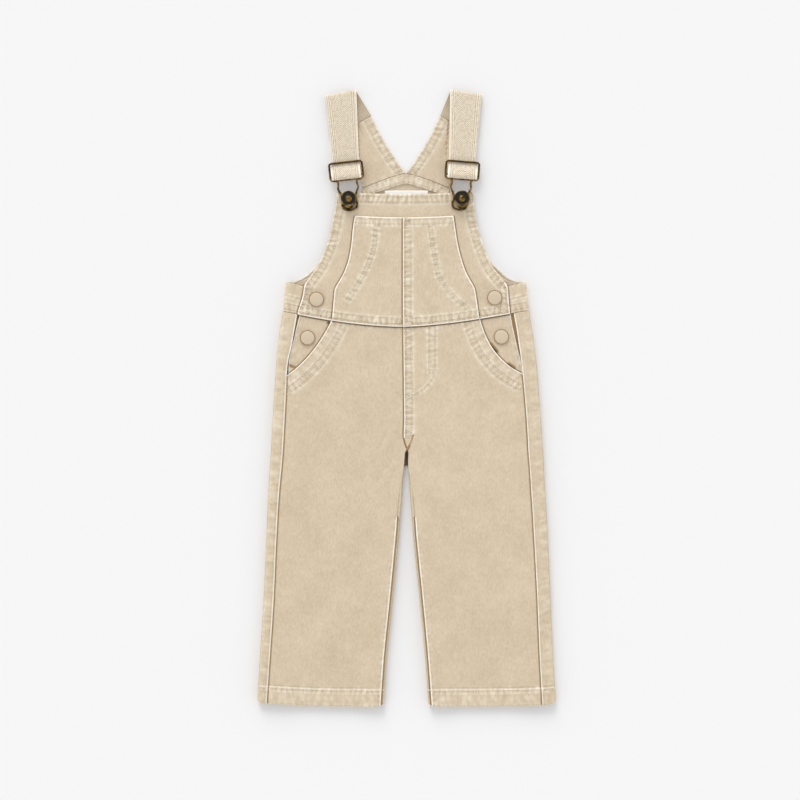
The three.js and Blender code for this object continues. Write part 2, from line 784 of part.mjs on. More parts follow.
// Wire frame and keyhole loop, with the bar that the webbing goes round
function buckleGeometry() {
  const half = BUCKLE_HALF_WIRE.map(({ u, v }) => new THREE.Vector3(u, v, 0));
  const mirrored = half
    .slice(1, -1)
    .reverse()
    .map((p) => new THREE.Vector3(-p.x, p.y, 0));
  const line = new THREE.CatmullRomCurve3([...half, ...mirrored], true, "centripetal");
  const wire = new THREE.TubeGeometry(line, 64, WIRE_RADIUS, 8, true);
  const sideX = 15.6;
  const across = (x, v) => [new THREE.Vector3(-x, v, 0), new THREE.Vector3(x, v, 0)];
  return joined([
    wire,
    bar(...across(sideX, MIDDLE_BAR.v), MIDDLE_BAR.radius),
    bar(...across(10, LOWER_BAR.v), LOWER_BAR.radius),
  ]);
}

// Turned profile about +Z
function turned(profile, segments) {
  const points = profile.map(([r, z]) => new THREE.Vector2(r, z));
  const geometry = new THREE.LatheGeometry(points, segments).rotateX(Math.PI / 2);
  ["normal", "uv"].forEach((name) => geometry.deleteAttribute(name));
  return facingOut(mergeVertices(geometry, 1e-4));
}

function snapGeometry() {
  const { radius, rim, height } = SNAP;
  return turned(
    [
      [0, 0],
      [radius - 0.5, 0],
      [radius, 0.5],
      [radius, height - 0.9],
      [radius - rim, height - 0.15],
      [radius - 2 * rim, height],
      [0, height],
    ],
    20,
  );
}

function buttonGeometry() {
  const { radius, neck, stand, capHeight } = BUTTON;
  const top = stand + capHeight;
  return turned(
    [
      [0, 0],
      [neck, 0],
      [neck, stand],
      [radius - 0.6, stand],
      [radius, stand + 0.8],
      [radius - 0.3, top - 0.3],
      [radius - 1.2, top],
      [radius - 2.2, top - 0.9],
      [neck, top - 0.9],
      [neck - 0.8, top - 0.3],
      [0, top - 0.1],
    ],
    20,
  );
}

function labelGeometry() {
  const { left, right, top, bottom, wall: thickness } = LABEL;
  return panel(
    [bottom, top],
    (x, y0) => y0,
    () => spread(left, right, 2),
    () => CLOTH + GAP,
    () => thickness,
  );
}

// Assembly

const overalls = new THREE.Group();
overalls.position.set(...CENTRING);
const materials = Object.fromEntries(
  Object.entries(FINISH).map(([name, finish]) => [name, new THREE.MeshStandardMaterial(finish)]),
);

function add(name, geometry, finish, parent = overalls) {
  const mesh = new THREE.Mesh(geometry, materials[finish]);
  mesh.name = name;
  parent.add(mesh);
  return mesh;
}

add("back_panel", backPanel(), "twill");
add("neck_band", neckBand(), "twill");
add("front_bib", frontBib(), "twill");
add("label", labelGeometry(), "label");

for (const side of SIDES) {
  const named = (piece) => piece + "_" + side.name;
  add(named("back_leg"), backLeg(side), "twill");
  add(named("front_leg"), frontLeg(side), "twill");
  add(named("hip_facing"), hipFacing(side), "twill");
  add(named("side_placket"), sidePlacket(side), "twill");
  add(named("bib_pocket"), bibPocketHalf(side), "twill");
  add(named("yoke_strap"), yokeStrap(side), "twill");
  add(named("webbing"), webbing(side), "webbing");

  const { buckle, button } = side.strap;
  const hardware = new THREE.Group();
  hardware.position.set(buckle.x, buckle.y, BUCKLE_Z);
  hardware.rotation.z = degToRad(buckle.turn);
  overalls.add(hardware);
  add(named("buckle"), buckleGeometry(), "brass", hardware);

  const tack = add(named("tack_button"), buttonGeometry(), "brass");
  tack.position.set(button.x, button.y, frontTop(button.x, button.y) + SEAM_RELIEF / 2 + 2 * GAP);
  tack.rotation.x = degToRad(BUTTON.tilt);
}

for (const { name, x, y, on } of SNAPS) {
  const below = on === "front" ? frontTop(x, y) : underFront(x, y) + CLOTH;
  add(name, snapGeometry(), "snap").position.set(x, y, below + GAP);
}

export default overalls;
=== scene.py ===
"""Looks of a pair of toddler overalls in washed sand twill, laid flat with the front up.

Lengths are in millimetres until a mesh is written, which is in metres. +Y runs from the hems
to the shoulders and +Z up from the surface. Left and right are as seen from above.
"""

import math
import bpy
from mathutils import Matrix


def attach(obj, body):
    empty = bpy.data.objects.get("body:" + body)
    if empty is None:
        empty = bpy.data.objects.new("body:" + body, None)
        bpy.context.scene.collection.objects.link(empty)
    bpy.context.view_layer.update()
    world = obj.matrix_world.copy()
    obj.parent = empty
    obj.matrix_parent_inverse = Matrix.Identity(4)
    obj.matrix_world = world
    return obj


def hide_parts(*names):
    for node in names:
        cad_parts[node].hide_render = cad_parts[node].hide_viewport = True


bl_info = {
    "name": "Toddler overalls",
    "version": (1, 0, 0),
    "blender": (4, 5, 0),
    "location": "3D view > Sidebar > Overalls",
    "description": "Washed twill overalls with webbing straps, wire buckles, buttons and snaps",
    "category": "Add Mesh",
}

import bmesh
import bpy
import numpy as np
from bpy.props import FloatProperty, FloatVectorProperty, IntProperty, PointerProperty
from mathutils import Vector
from mathutils.bvhtree import BVHTree

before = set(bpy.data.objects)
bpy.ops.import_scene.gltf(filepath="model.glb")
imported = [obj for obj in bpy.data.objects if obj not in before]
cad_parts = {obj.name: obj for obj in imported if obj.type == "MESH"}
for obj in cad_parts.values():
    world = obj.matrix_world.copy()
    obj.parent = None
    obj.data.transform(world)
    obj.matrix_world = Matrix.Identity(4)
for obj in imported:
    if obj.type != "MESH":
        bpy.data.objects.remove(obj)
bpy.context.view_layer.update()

# Cloth, as in the part's own source
CLOTH = 1.2
GAP = 0.3
FOLD_HEIGHT = 6.0
LOFT_MIDDLE = 3.2
LOFT_EDGE = FOLD_HEIGHT - CLOTH
UNDER_LAYER = GAP + CLOTH
SEAM_RELIEF = 0.5
CENTRING = np.array([-0.09, -1.0, 0.0])

# Fineness of the meshes
TOP_STEP = 1.2
HIDDEN_STEP = 2.2
RIM_STEPS = np.array([0.0, 0.22, 0.6, 1.1, 1.9])
RIM_RADIUS = 0.6
SEAM_CLOSE = 0.11  # how far each edge reaches into the gap of a seam

# Sewing
TRACK_GAP = 2.6  # from the middle of a double topstitch to either line
TRACK_INSET = 4.9  # from an edge to the middle of its double topstitch
PUCKER_PITCH = 4.7
PUCKER_REACH = 9.0
PUCKER_START = 1.2  # from the sewing to where its puckers begin to fade
# Place, width and slant of a pucker as shares of its pitch, and how much its width varies
PUCKER_SHIFT, PUCKER_WIDTH, PUCKER_SLANT, PUCKER_VARIES = 0.28, 0.26, 0.45, 0.06
BAND_RELIEF = 0.14
BAND_HALF = 2.6  # half the width of a strip that ripples all across
BAND_DULL = 2.6  # how much less such a strip is rubbed, as a distance from sewing
WIDE_PITCH = 7.4  # between the ripples of hems and pocket mouths
STRIP_PITCH = 13.5  # between the ripples beside the side seams
DEEP_REACH = 1.5  # how far the painted shade of a deep gap spreads
TUCK_LIMIT = 2.0  # distance from a tucked edge beyond which its painted shade plays no part

# Lines that run across the garment
HEM_Y = -291.2
HEM_DEPTH = 14.0
HEM_FOLD_FAINT = 0.55
HEM_FOLD = 1.7  # from the hem's stitching up to the turned edge that shows through
HEM_CURL = 1.6
HEM_FLAT_HALF, HEM_CURL_WIDTH = 60.0, 80.0  # half of the straight middle, and the curl beyond it
LEFT_HEM_CURL, RIGHT_HEM_CURL = 2.1, 1.1
HEM_CORNER_RISE, HEM_CORNER_REACH = 2.4, 6.5
HEM_CORNERS = (-141.8, -21.7, 21.0, 142.0)
CROTCH_X = 0.1
CROTCH_Y = -46.5
FELL_END_Y = -37.0
BACK_CROTCH_Y = -63.4
INSEAM_SHOWS_Y = -112.0
WAIST_Y = 68.7
BIB_TOP_Y = 194.6
BIB_TOP_SAG = 2.4
BIB_HEM = 9.0
CENTRE_X = -2.6


def table(columns, *rows):
    """Columns of numbers by name."""
    return dict(zip(columns.split(), np.array(rows, float).T))


BODY = table(
    "y outer_left seam_left seam_right outer_right",
    (-292, -141.8, -132.6, 128.7, 142.0),
    (-242, -139.0, -129.2, 126.0, 138.8),
    (-190, -135.6, -125.8, 123.9, 136.6),
    (-133, -133.0, -123.2, 120.9, 134.0),
    (-90, -131.1, -120.7, 118.3, 131.6),
    (-65, -129.7, -118.3, 116.7, 130.2),
    (-53, -128.8, -117.3, 115.7, 129.7),
    (-20, -127.1, -115.4, 113.8, 127.4),
    (14, -124.9, -113.7, 111.0, 124.9),
    (26, -124.0, -113.3, 109.7, 124.0),
    (38, -123.2, -111.8, 108.5, 122.8),
    (49, -122.1, -109.2, 106.9, 121.4),
    (66, -120.2, -106.1, 104.4, 119.2),
    (81, -117.7, -103.6, 101.7, 116.6),
    (98, -115.9, -102.0, 100.0, 114.8),
    (112, -114.4, -100.6, 98.0, 113.2),
)
# Inseams, the slit of the crotch and the centre seam above it
INNER = table(
    "y left right",
    (-292, -21.7, 21.0),
    (-242, -18.2, 17.3),
    (-190, -12.9, 12.4),
    (-133, -7.5, 6.7),
    (-115, -6.0, 5.3),
    (-100, -4.9, 4.1),
    (-86, -3.9, 3.0),
    (-77, -3.4, 2.6),
    (-65, -2.5, 1.6),
    (-56, -1.8, 1.6),
    (-50.5, -1.3, 1.8),
    (-48, 0.2, 0.5),
    (-46.5, 0.0, 0.0),
    (-37, -2.6, -2.6),
    (-20, -2.3, -2.3),
    (14, -2.6, -2.6),
    (49, -3.0, -3.0),
    (81, -3.3, -3.3),
    (112, -3.5, -3.5),
)
FLAP_EDGES = ((6.6, -34.0), (3.0, -43.6), (0.6, -48.5))  # right edge of the fell where it narrows
BIB = table(
    "y left right",
    (66, -103.6, 98.4),
    (82, -103.0, 97.9),
    (90, -100.7, 97.2),
    (98, -98.3, 96.5),
    (106, -97.0, 95.8),
    (109, -96.2, 94.6),
    (119, -89.6, 86.4),
    (129, -82.8, 79.8),
    (144, -76.4, 73.6),
    (156, -72.7, 69.8),
    (170, -69.8, 66.0),
    (185, -67.0, 64.1),
    (200, -65.3, 62.8),
)
BIB_POCKET = table(
    "y left right",
    (66, -71.2, 70.2),
    (90, -69.3, 67.0),
    (104, -67.9, 64.8),
    (107, -66.6, 63.6),
    (116, -61.2, 58.5),
    (123, -58.0, 55.3),
    (132, -54.9, 52.3),
    (147, -52.2, 48.5),
    (165, -50.4, 45.7),
    (178, -48.0, 44.0),
)
BIB_POCKET_TOP_Y = 172.3
BIB_POCKET_SAG = 1.7
BIB_POCKET_SEAM_X = -3.6
BIB_POCKET_HEM = 6.3
BACK = table(
    "y left right",
    (60, -117.0, 116.0),
    (109.5, -111.4, 110.4),
    (111, -110.0, 109.0),
    (112, -105.5, 104.5),
    (115.5, -98.3, 95.7),
    (121, -90.7, 89.5),
    (130, -82.9, 80.7),
    (142, -75.5, 71.9),
    (156, -68.9, 65.1),
    (170, -61.3, 57.6),
    (185, -51.6, 48.8),
    (200, -41.0, 40.2),
)
FACING = table(
    "y left right",
    (10, -112.2, 110.0),
    (26, -112.2, 110.0),
    (36, -112.0, 108.8),
    (46, -110.1, 106.2),
    (58, -107.0, 103.5),
    (69, -104.5, 100.9),
    (84, -100.4, 98.4),
)
FACING_FOOT_Y = 12.0
FACING_TUCK = 12.0
PLACKET_FOOT_Y = 28.0
PLACKET_DEPTH = (9.0, 33.0)
ARCH_X, ARCH_Y, ARCH_HALF_WIDTH = -0.5, 214.2, 41.0
ARCH_DROP, ARCH_POWER, ARCH_BAND = 14.2, 1.25, 9.2
ARCH_FOOT_Y = ARCH_Y - ARCH_DROP
TAB_TOP_Y, TAB_SLOPE = 111.2, 0.25
TAB_DEPTH, TAB_DIP_DEPTH = 38.0, 12.0
TAB_LINE = 12.5  # from the tab's top edge down to the stitching of its hem

# Hip pocket mouths as quadratic curves from the side seam to the waist
POCKET_MOUTH = {
    "left": ((-112.8, 23.1), (-87.1, 41.3), (-70.6, 76.0)),
    "right": ((110.6, 24.0), (78.4, 38.8), (69.4, 78.0)),
}
POCKET_TRACK = 12.6  # from the mouth to the middle of its double topstitch
# Wedges painted a dark shade where a facing falls away from the mouth's edge
FACING_WEDGES = {
    "left": (
        ((-113.4, 22.0), (-112.6, 23.6)),
        ((-79.6, 52.6), (-75.4, 59.6)),
        ((-73.6, 71.4), (-72.7, 73.4)),
    ),
    "right": (
        ((78.2, 52.6), (85.6, 44.2)),
        ((95.5, 33.2), (102.6, 28.2)),
        ((69.2, 71.4), (68.8, 73.4)),
    ),
}

# Straps
STRAP = {
    "left": {
        "join": ((-60.1, 254.3), (-33.4, 269.0)),
        "fold": ((-77.0, 288.7), (-48.0, 294.2)),
        "taper": 2.1,
        "buckle": (-57.2, 216.4, 6.5),
        "button": (-55.2, 190.7),
        "yoke_foot": -41.2,
    },
    "right": {
        "join": ((58.6, 254.3), (31.9, 269.0)),
        "fold": ((71.4, 289.8), (41.8, 294.5)),
        "taper": 1.6,
        "buckle": (52.9, 216.9, -4.5),
        "button": (52.2, 191.0),
        "yoke_foot": 40.6,
    },
}
YOKE_BOW = 2.2
# Folds and shaded lines of the yoke beside the webbing, each with how faint it is
YOKE_SHADOWS = {
    "left": (
        (((-47.6, 270.0), (-46.6, 251.0)), 0.4),
        (((-46.4, 262.0), (-40.6, 248.5)), 1.15),
        (((-45.9, 251.0), (-45.0, 229.0)), 0.8),
    ),
    "right": (
        (((40.0, 268.0), (38.9, 250.0)), 0.55),
        (((38.9, 250.0), (37.2, 230.0)), 0.8),
        (((37.8, 246.0), (33.0, 236.0)), 1.2),
    ),
}
WEBBING_TAIL = 30.0
WEBBING_HALF_WIDTH = 13.5
WRAP_NOSE = 3.3  # how far the webbing reaches past the buckle's middle bar
SLIDER_SPREAD = 0.9  # how much wider the webbing is pressed in the buckle, on its outer side
FRONT_WEBBING_Z = 3.6
TAIL_Z = 2.1
TAIL_NARROWING = 0.6
STRAIGHT_FROM_V = 14.0  # how far up the buckle the webbing starts to be pinched
# How far up the buckle and how high the webbing runs, over the middle bar and back behind it
OVER_BAR = ((5.5, 4.6), (0.0, 6.7))
BEHIND_BAR = ((0.0, 2.7), (4.0, TAIL_Z))
RIB_PITCH, RIB_HEIGHT = 1.75, 0.16  # ribbed borders of the webbing
RIBS_END, RIBS_GONE = 4.4, 5.2
FLOOR_Z = CLOTH / 2

# Buckle wire, from the top bar round the frame to the end of the loop
WIRE_RADIUS = 0.98
BUCKLE_Z = 5.75
TOP_BAR_V = 8.3
HALF_WIRE = table(
    "u v",
    (0, TOP_BAR_V),
    (6, TOP_BAR_V),
    (12.6, TOP_BAR_V),
    (15, 7.4),
    (15.6, 5),
    (15.6, -5),
    (15, -7.4),
    (12.6, -8.4),
    (10.4, -8.6),
    (9, -10),
    (8.9, -12.5),
    (9.4, -16.5),
    (7.1, -22),
    (6.1, -26.5),
    (7.2, -32),
    (5.2, -36),
    (0, -37.4),
)
MIDDLE_BAR_V, MIDDLE_BAR_RADIUS, MIDDLE_BAR_HALF = -4.5, 1.0, 15.4
LOWER_BAR_V, LOWER_BAR_RADIUS, LOWER_BAR_HALF = -8.6, 0.72, 9.8

SNAPS = {
    "snap_bib_left": (-85.4, 94.6, "front"),
    "snap_bib_right": (83.6, 96.2, "front"),
    "snap_hip_left": (-93.8, 58.3, "facing"),
    "snap_hip_right": (90.0, 59.2, "facing"),
}
SNAP_RADIUS = 7.2
SNAP_SINK = 0.5
BUTTON_TILT = -7.0
BUTTON_SHIFT = (0.4, -1.3)  # from the button's hole to the middle of its tilted cap
LABEL_LEFT, LABEL_RIGHT, LABEL_TOP, LABEL_BOTTOM = -20.4, 20.4, 198.0, 185.5

# Large soft folds, shared with the solids, and the finer creases of the top layer
FOLDS = table(
    "x y angle length width height",
    (-34, -98, 58, 42, 11, 0.7),
    (-74, -150, 40, 50, 15, 0.5),
    (-66, -232, 12, 40, 13, 0.45),
    (36, -100, 122, 44, 11, 0.7),
    (78, -158, 140, 52, 15, 0.55),
    (68, -236, 168, 40, 13, 0.45),
    (-52, 12, 20, 34, 12, 0.4),
    (50, 6, 158, 34, 12, 0.4),
)
CREASES = table(
    "x y angle length width height",
    (-22, -40, 66, 13, 2.6, -0.5),
    (-18, -42, 68, 12, 2.8, 0.35),
    (19.5, -44.4, 110, 13, 2.6, -0.5),
    (15.5, -45, 110, 12, 2.8, 0.35),
    (-14, -66, 62, 15, 3.2, 0.34),
    (-23, -70, 52, 19, 3.8, -0.36),
    (11, -67, 118, 16, 3.2, 0.34),
    (20, -72, 130, 18, 3.8, -0.36),
    (-12, -88, 74, 20, 4.0, 0.24),
    (14, -92, 104, 21, 4.2, 0.24),
    (-30, -52, 28, 17, 4.0, 0.22),
    (27, -50, 150, 18, 4.2, 0.22),
    (12, 14, 8, 9, 2.6, 0.3),
    (15, 24, -6, 8, 2.4, 0.26),
    (14, 35, 5, 8, 2.6, 0.24),
    (16, 48, -4, 9, 2.6, 0.22),
    (-40, 46, 18, 16, 4.0, 0.2),
    (46, 44, 160, 17, 4.0, 0.2),
    (-92, -32, 84, 30, 5.0, -0.24),
    (90, -40, 95, 32, 5.0, -0.24),
    (-58, -118, 66, 30, 6.0, 0.22),
    (62, -128, 112, 32, 6.0, 0.22),
    (-96, -205, 78, 34, 6.0, -0.22),
    (100, -212, 100, 33, 6.0, -0.22),
    (-40, -262, 4, 22, 5.0, 0.24),
    (-92, -268, -5, 24, 5.0, 0.2),
    (44, -264, 3, 24, 5.0, 0.24),
    (98, -270, 172, 22, 5.0, 0.2),
    (-84, 108, 48, 12, 3.0, 0.24),
    (81, 110, 130, 12, 3.0, 0.24),
    (-62, 146, 80, 15, 3.6, -0.22),
    (60, 148, 100, 15, 3.6, -0.22),
    (-28, 108, 22, 16, 4.0, 0.18),
    (27, 110, 156, 16, 4.0, 0.18),
    (0, 182, 2, 26, 4.0, -0.16),
    (-43, 254, 113, 9, 2.2, -0.45),
    (-39, 245, 130, 10, 2.6, 0.4),
    (-33, 236, 140, 13, 3.0, -0.3),
    (37, 246, 84, 18, 2.6, -0.5),
    (33, 240, 70, 14, 3.0, 0.35),
    (28, 228, 40, 12, 3.0, -0.25),
)
# Folds of the hip facings
FACING_CREASES = table(
    "x y angle length width height",
    (94.9, 41.0, 92, 6, 1.5, -0.5),
    (98.4, 42.0, 84, 7, 2.0, 0.3),
    (91.0, 41.0, 96, 5, 1.8, 0.25),
    (-108.0, 31.6, -22, 5, 1.4, -0.45),
    (-103.0, 38.0, 36, 7, 2.2, 0.25),
    (-94.0, 47.0, 20, 8, 2.6, -0.22),
)


# Smooth functions of position

def smooth(value, low, high):
    """From 0 at low to 1 at high, with soft ends."""
    t = np.clip((value - low) / (high - low), 0.0, 1.0)
    return t * t * (3.0 - 2.0 * t)


def mix(a, b, share):
    """Between a and b."""
    return a + (b - a) * share


def lattice(i, j, seed):
    """A fixed number between -1 and 1 for each whole cell."""
    value = np.sin(i * 127.1 + j * 311.7 + seed * 74.7) * 43758.5453
    return 2.0 * (value - np.floor(value)) - 1.0


def noise(x, y, seed):
    """Smooth noise between -1 and 1, one cell for each unit."""
    x, y = np.broadcast_arrays(np.asarray(x, float), np.asarray(y, float))
    i, j = np.floor(x), np.floor(y)
    u, v = smooth(x - i, 0.0, 1.0), smooth(y - j, 0.0, 1.0)
    low = mix(lattice(i, j, seed), lattice(i + 1, j, seed), u)
    high = mix(lattice(i, j + 1, seed), lattice(i + 1, j + 1, seed), u)
    return mix(low, high, v)


class Edge:
    """A table's column as a smooth x for any y."""

    def __init__(self, columns, name):
        self.y = columns["y"]
        self.x = columns[name]
        self.last = len(self.y) - 2
        places = np.arange(len(self.y))
        before = np.maximum(places - 1, 0)
        after = np.minimum(places + 1, len(self.y) - 1)
        self.slope = (self.x[after] - self.x[before]) / (self.y[after] - self.y[before])

    def __call__(self, y):
        k = np.clip(np.searchsorted(self.y, y, side="right") - 1, 0, self.last)
        step = self.y[k + 1] - self.y[k]
        t = np.clip((y - self.y[k]) / step, 0.0, 1.0)
        rest = 1.0 - t
        return (
            self.x[k] * (1 + 2 * t) * rest * rest
            + self.slope[k] * step * t * rest * rest
            + self.x[k + 1] * (3 - 2 * t) * t * t
            - self.slope[k + 1] * step * t * t * rest
        )


class Side:
    """What differs between the two sides. out points from the centre to the outer fold."""

    def __init__(self, name, out):
        self.name = name
        self.out = out
        self.outer = Edge(BODY, "outer_" + name)
        self.seam = Edge(BODY, "seam_" + name)
        self.inner = Edge(INNER, name)
        self.bib = Edge(BIB, name)
        self.bib_pocket = Edge(BIB_POCKET, name)
        self.back = Edge(BACK, name)
        self.facing = Edge(FACING, name)
        self.foot, self.bend, self.head = POCKET_MOUTH[name]
        self.strap = STRAP[name]

    def back_inner(self, y):
        """Inner edge of the back, which stays closed further down than the front."""
        return np.where(y > BACK_CROTCH_Y, CROTCH_X, self.inner(y))

    def mouth(self, y):
        """x of the hip pocket's mouth, from its quadratic curve."""
        a = self.foot[1] - 2 * self.bend[1] + self.head[1]
        b = self.bend[1] - self.foot[1]
        c = self.foot[1] - np.clip(y, self.foot[1], self.head[1])
        t = (-b + np.sqrt(np.maximum(0.0, b * b - a * c))) / a
        rest = 1.0 - t
        return self.foot[0] * rest**2 + 2 * self.bend[0] * t * rest + self.head[0] * t * t


LEFT = Side("left", -1)
RIGHT = Side("right", 1)
SIDES = (LEFT, RIGHT)


# Heights of the layers

def ridges(places, x, y):
    """Height of the soft ridges and troughs of a table at each point."""
    height = np.zeros(np.broadcast(x, y).shape)
    for k in range(len(places["x"])):
        angle = math.radians(places["angle"][k])
        dx, dy = x - places["x"][k], y - places["y"][k]
        along = (dx * math.cos(angle) + dy * math.sin(angle)) / places["length"][k]
        across = (dy * math.cos(angle) - dx * math.sin(angle)) / places["width"][k]
        height = height + places["height"][k] * np.exp(-along * along - across * across)
    return height


def front_low(x, y):
    """Underside of the front layer: high beside the folds, low in the middle of a panel."""
    from_outer = np.minimum(x - LEFT.outer(y), RIGHT.outer(y) - x)
    full = mix(16.0, 36.0, smooth(y, 0.0, 25.0))
    outer_puff = (1 - smooth(from_outer - full, 0.0, 34.0)) * (1 - smooth(y, 105.0, 135.0))
    from_inner = np.where(x < CENTRE_X, LEFT.inner(y) - x, x - RIGHT.inner(y))
    inner_puff = (1 - smooth(from_inner, 6.0, 34.0)) * smooth(-y, 50.0, 95.0)
    puff = np.maximum(outer_puff, inner_puff)
    return mix(LOFT_MIDDLE, LOFT_EDGE, puff) + ridges(FOLDS, x, y) * (1 - puff)


def front_top(x, y):
    return front_low(x, y) + CLOTH


def under_front(x, y):
    return front_low(x, y) - UNDER_LAYER


def bib_pocket_low(x, y):
    return front_top(x, y) + GAP


def on_back(x, y):
    return np.full(np.broadcast(x, y).shape, CLOTH + GAP)


def on_floor(x, y):
    return np.zeros(np.broadcast(x, y).shape)


# Rows: the y at x of a nominal height

def waist_rise(x):
    power = np.where(x < CENTRE_X, 1.8, 1.5)
    return 15.4 * (np.abs(x - CENTRE_X) / 117.0) ** power


def waist_y(x):
    return WAIST_Y + waist_rise(x)


def arch_y(x):
    share = np.minimum(1.1, np.abs(x - ARCH_X) / ARCH_HALF_WIDTH)
    return ARCH_Y - ARCH_DROP * share**ARCH_POWER


def hem_rise(x):
    """How far the hem curls up towards the side seams, sooner on the left."""
    t = np.maximum(0.0, (np.abs(x) - HEM_FLAT_HALF) / HEM_CURL_WIDTH)
    return HEM_CURL * t**2 + np.where(x < 0, LEFT_HEM_CURL * t**1.3, RIGHT_HEM_CURL * t**6)


def hem_y(x, up=0.0):
    """y of the hem's edge, or of a line that runs above it."""
    return HEM_Y + up + hem_rise(x)


def in_hem(x, y):
    """1 on the doubled cloth of the hem, 0 above its stitching."""
    return 1 - smooth(y - hem_y(x), HEM_DEPTH - 0.6, HEM_DEPTH + 0.8)


def hem_roping(x):
    """Soft waver of the hem's edge, and its rounded corners."""
    from_corner = np.min([np.abs(x - corner) for corner in HEM_CORNERS], axis=0)
    corner = HEM_CORNER_RISE * np.maximum(0.0, 1 - from_corner / HEM_CORNER_REACH) ** 2
    return corner + 0.3 * noise(x / 11, 0.5, 12)


def leg_row(x, height):
    rise = waist_rise(x) * smooth(height, 5.0, WAIST_Y)
    roping = hem_roping(x) * smooth(-height, 279.0, -HEM_Y)
    return height + rise + hem_rise(x) * smooth(-height, 200.0, -HEM_Y) + roping


def above_waist(x, height, top):
    """y of a row that follows the waist at its foot and is level at its top, and how far up it is."""
    t = (height - WAIST_Y) / (top - WAIST_Y)
    return height + waist_rise(x) * np.maximum(0.0, 1 - t) ** 1.5, t


def bib_row(x, height):
    y, t = above_waist(x, height, BIB_TOP_Y)
    return y + BIB_TOP_SAG * t * ((x - CENTRE_X) / 66.0) ** 2


def bib_pocket_row(x, height):
    y, t = above_waist(x, height, BIB_POCKET_TOP_Y)
    return y + BIB_POCKET_SAG * t * ((x - CENTRE_X) / 48.0) ** 2


def back_row(x, height):
    y, t = above_waist(x, height, ARCH_FOOT_Y)
    return y + np.maximum(0.0, arch_y(x) - ARCH_FOOT_Y) * t * t


def meet(row, heights, edge):
    """x where each nominal row crosses an edge that is given as x by y."""
    low, high = heights - 1.0, heights + 20.0
    for _ in range(26):
        middle = (low + high) / 2
        short = middle < row(edge(middle), heights)
        low = np.where(short, middle, low)
        high = np.where(short, high, middle)
    return edge(low)


# Paths of the sewing

class Path:
    """A line of points in the plane of the garment."""

    def __init__(self, points, faint=0.0):
        self.points = np.array(points, float)
        self.faint = faint  # millimetres taken off the width of the line that it draws

    def steps(self):
        return np.diff(self.points, axis=0)

    def length(self):
        return np.linalg.norm(self.steps(), axis=1).sum()

    def near(self, x, y):
        """Signed distance, run along the path, and how far beyond its ends, for each point."""
        where = np.stack([np.ravel(x), np.ravel(y)], -1)
        starts, steps = self.points[:-1], self.steps()
        lengths = np.linalg.norm(steps, axis=1)
        runs = np.concatenate([[0.0], np.cumsum(lengths)[:-1]])
        best = np.full(len(where), 1e9)
        signed, run = best.copy(), best.copy()
        for start, step, length, before in zip(starts, steps, lengths, runs):
            offset = where - start
            share = np.clip(offset @ step / length**2, 0.0, 1.0)
            away = offset - share[:, None] * step
            distance = np.hypot(away[:, 0], away[:, 1])
            closer = distance < best - 1e-9
            side = np.sign(step[0] * offset[:, 1] - step[1] * offset[:, 0])
            best = np.where(closer, distance, best)
            signed = np.where(closer, distance * np.where(side == 0, 1.0, side), signed)
            run = np.where(closer, before + share * length, run)
        before = (self.points[0] - where) @ steps[0] / lengths[0]
        after = (where - self.points[-1]) @ steps[-1] / lengths[-1]
        beyond = np.where(run <= 0, before, 0.0) + np.where(run >= lengths.sum() - 1e-6, after, 0.0)
        shape = np.shape(x)
        return signed.reshape(shape), run.reshape(shape), np.maximum(beyond, 0.0).reshape(shape)

    def shifted(self, distance):
        """The path moved sideways, to the left of its direction where distance is positive."""
        tangents = np.gradient(self.points, axis=0)
        tangents /= np.linalg.norm(tangents, axis=1)[:, None]
        normals = np.stack([-tangents[:, 1], tangents[:, 0]], -1)
        return Path(self.points + normals * distance)

    def cut(self, start, end):
        """The stretch between two runs, given in millimetres from the path's start."""
        lengths = np.linalg.norm(self.steps(), axis=1)
        runs = np.concatenate([[0.0], np.cumsum(lengths)])
        end = runs[-1] + end if end <= 0 else end
        inside = runs[(runs > start) & (runs < end)]
        wanted = np.concatenate([[start], inside, [end]])
        x = np.interp(wanted, runs, self.points[:, 0])
        y = np.interp(wanted, runs, self.points[:, 1])
        return Path(np.stack([x, y], -1))


def along_y(edge, low, high, step=4.0):
    """The path of an edge that is given as x by y, upwards."""
    y = np.linspace(low, high, max(3, int((high - low) / step)))
    return Path(np.stack([edge(y), y], -1))


def along_x(height, low, high, step=4.0):
    """The path of a line that is given as y by x, to the right."""
    x = np.linspace(low, high, max(3, int((high - low) / step)))
    return Path(np.stack([x, height(x)], -1))


def mouth_path(side, depth=0.0):
    """A hip pocket's mouth or a line beside it, from the side seam to the waist."""
    (x0, y0), (x1, y1), (x2, y2) = side.foot, side.bend, side.head
    reach = 0.35 if depth else 0.05
    t = np.linspace(-reach, 1.0 + reach, 34)
    x = x0 * (1 - t) ** 2 + 2 * x1 * t * (1 - t) + x2 * t * t
    y = y0 * (1 - t) ** 2 + 2 * y1 * t * (1 - t) + y2 * t * t
    return Path(np.stack([x, y], -1)).shifted(side.out * depth)


def inside_body(path, side, inset=1.0):
    """The stretch of a path that lies on the front leg."""
    x, y = path.points[:, 0], path.points[:, 1]
    on_leg = (side.out * (side.seam(y) - x) > inset) & (y < waist_y(x) - inset)
    return Path(path.points[on_leg])


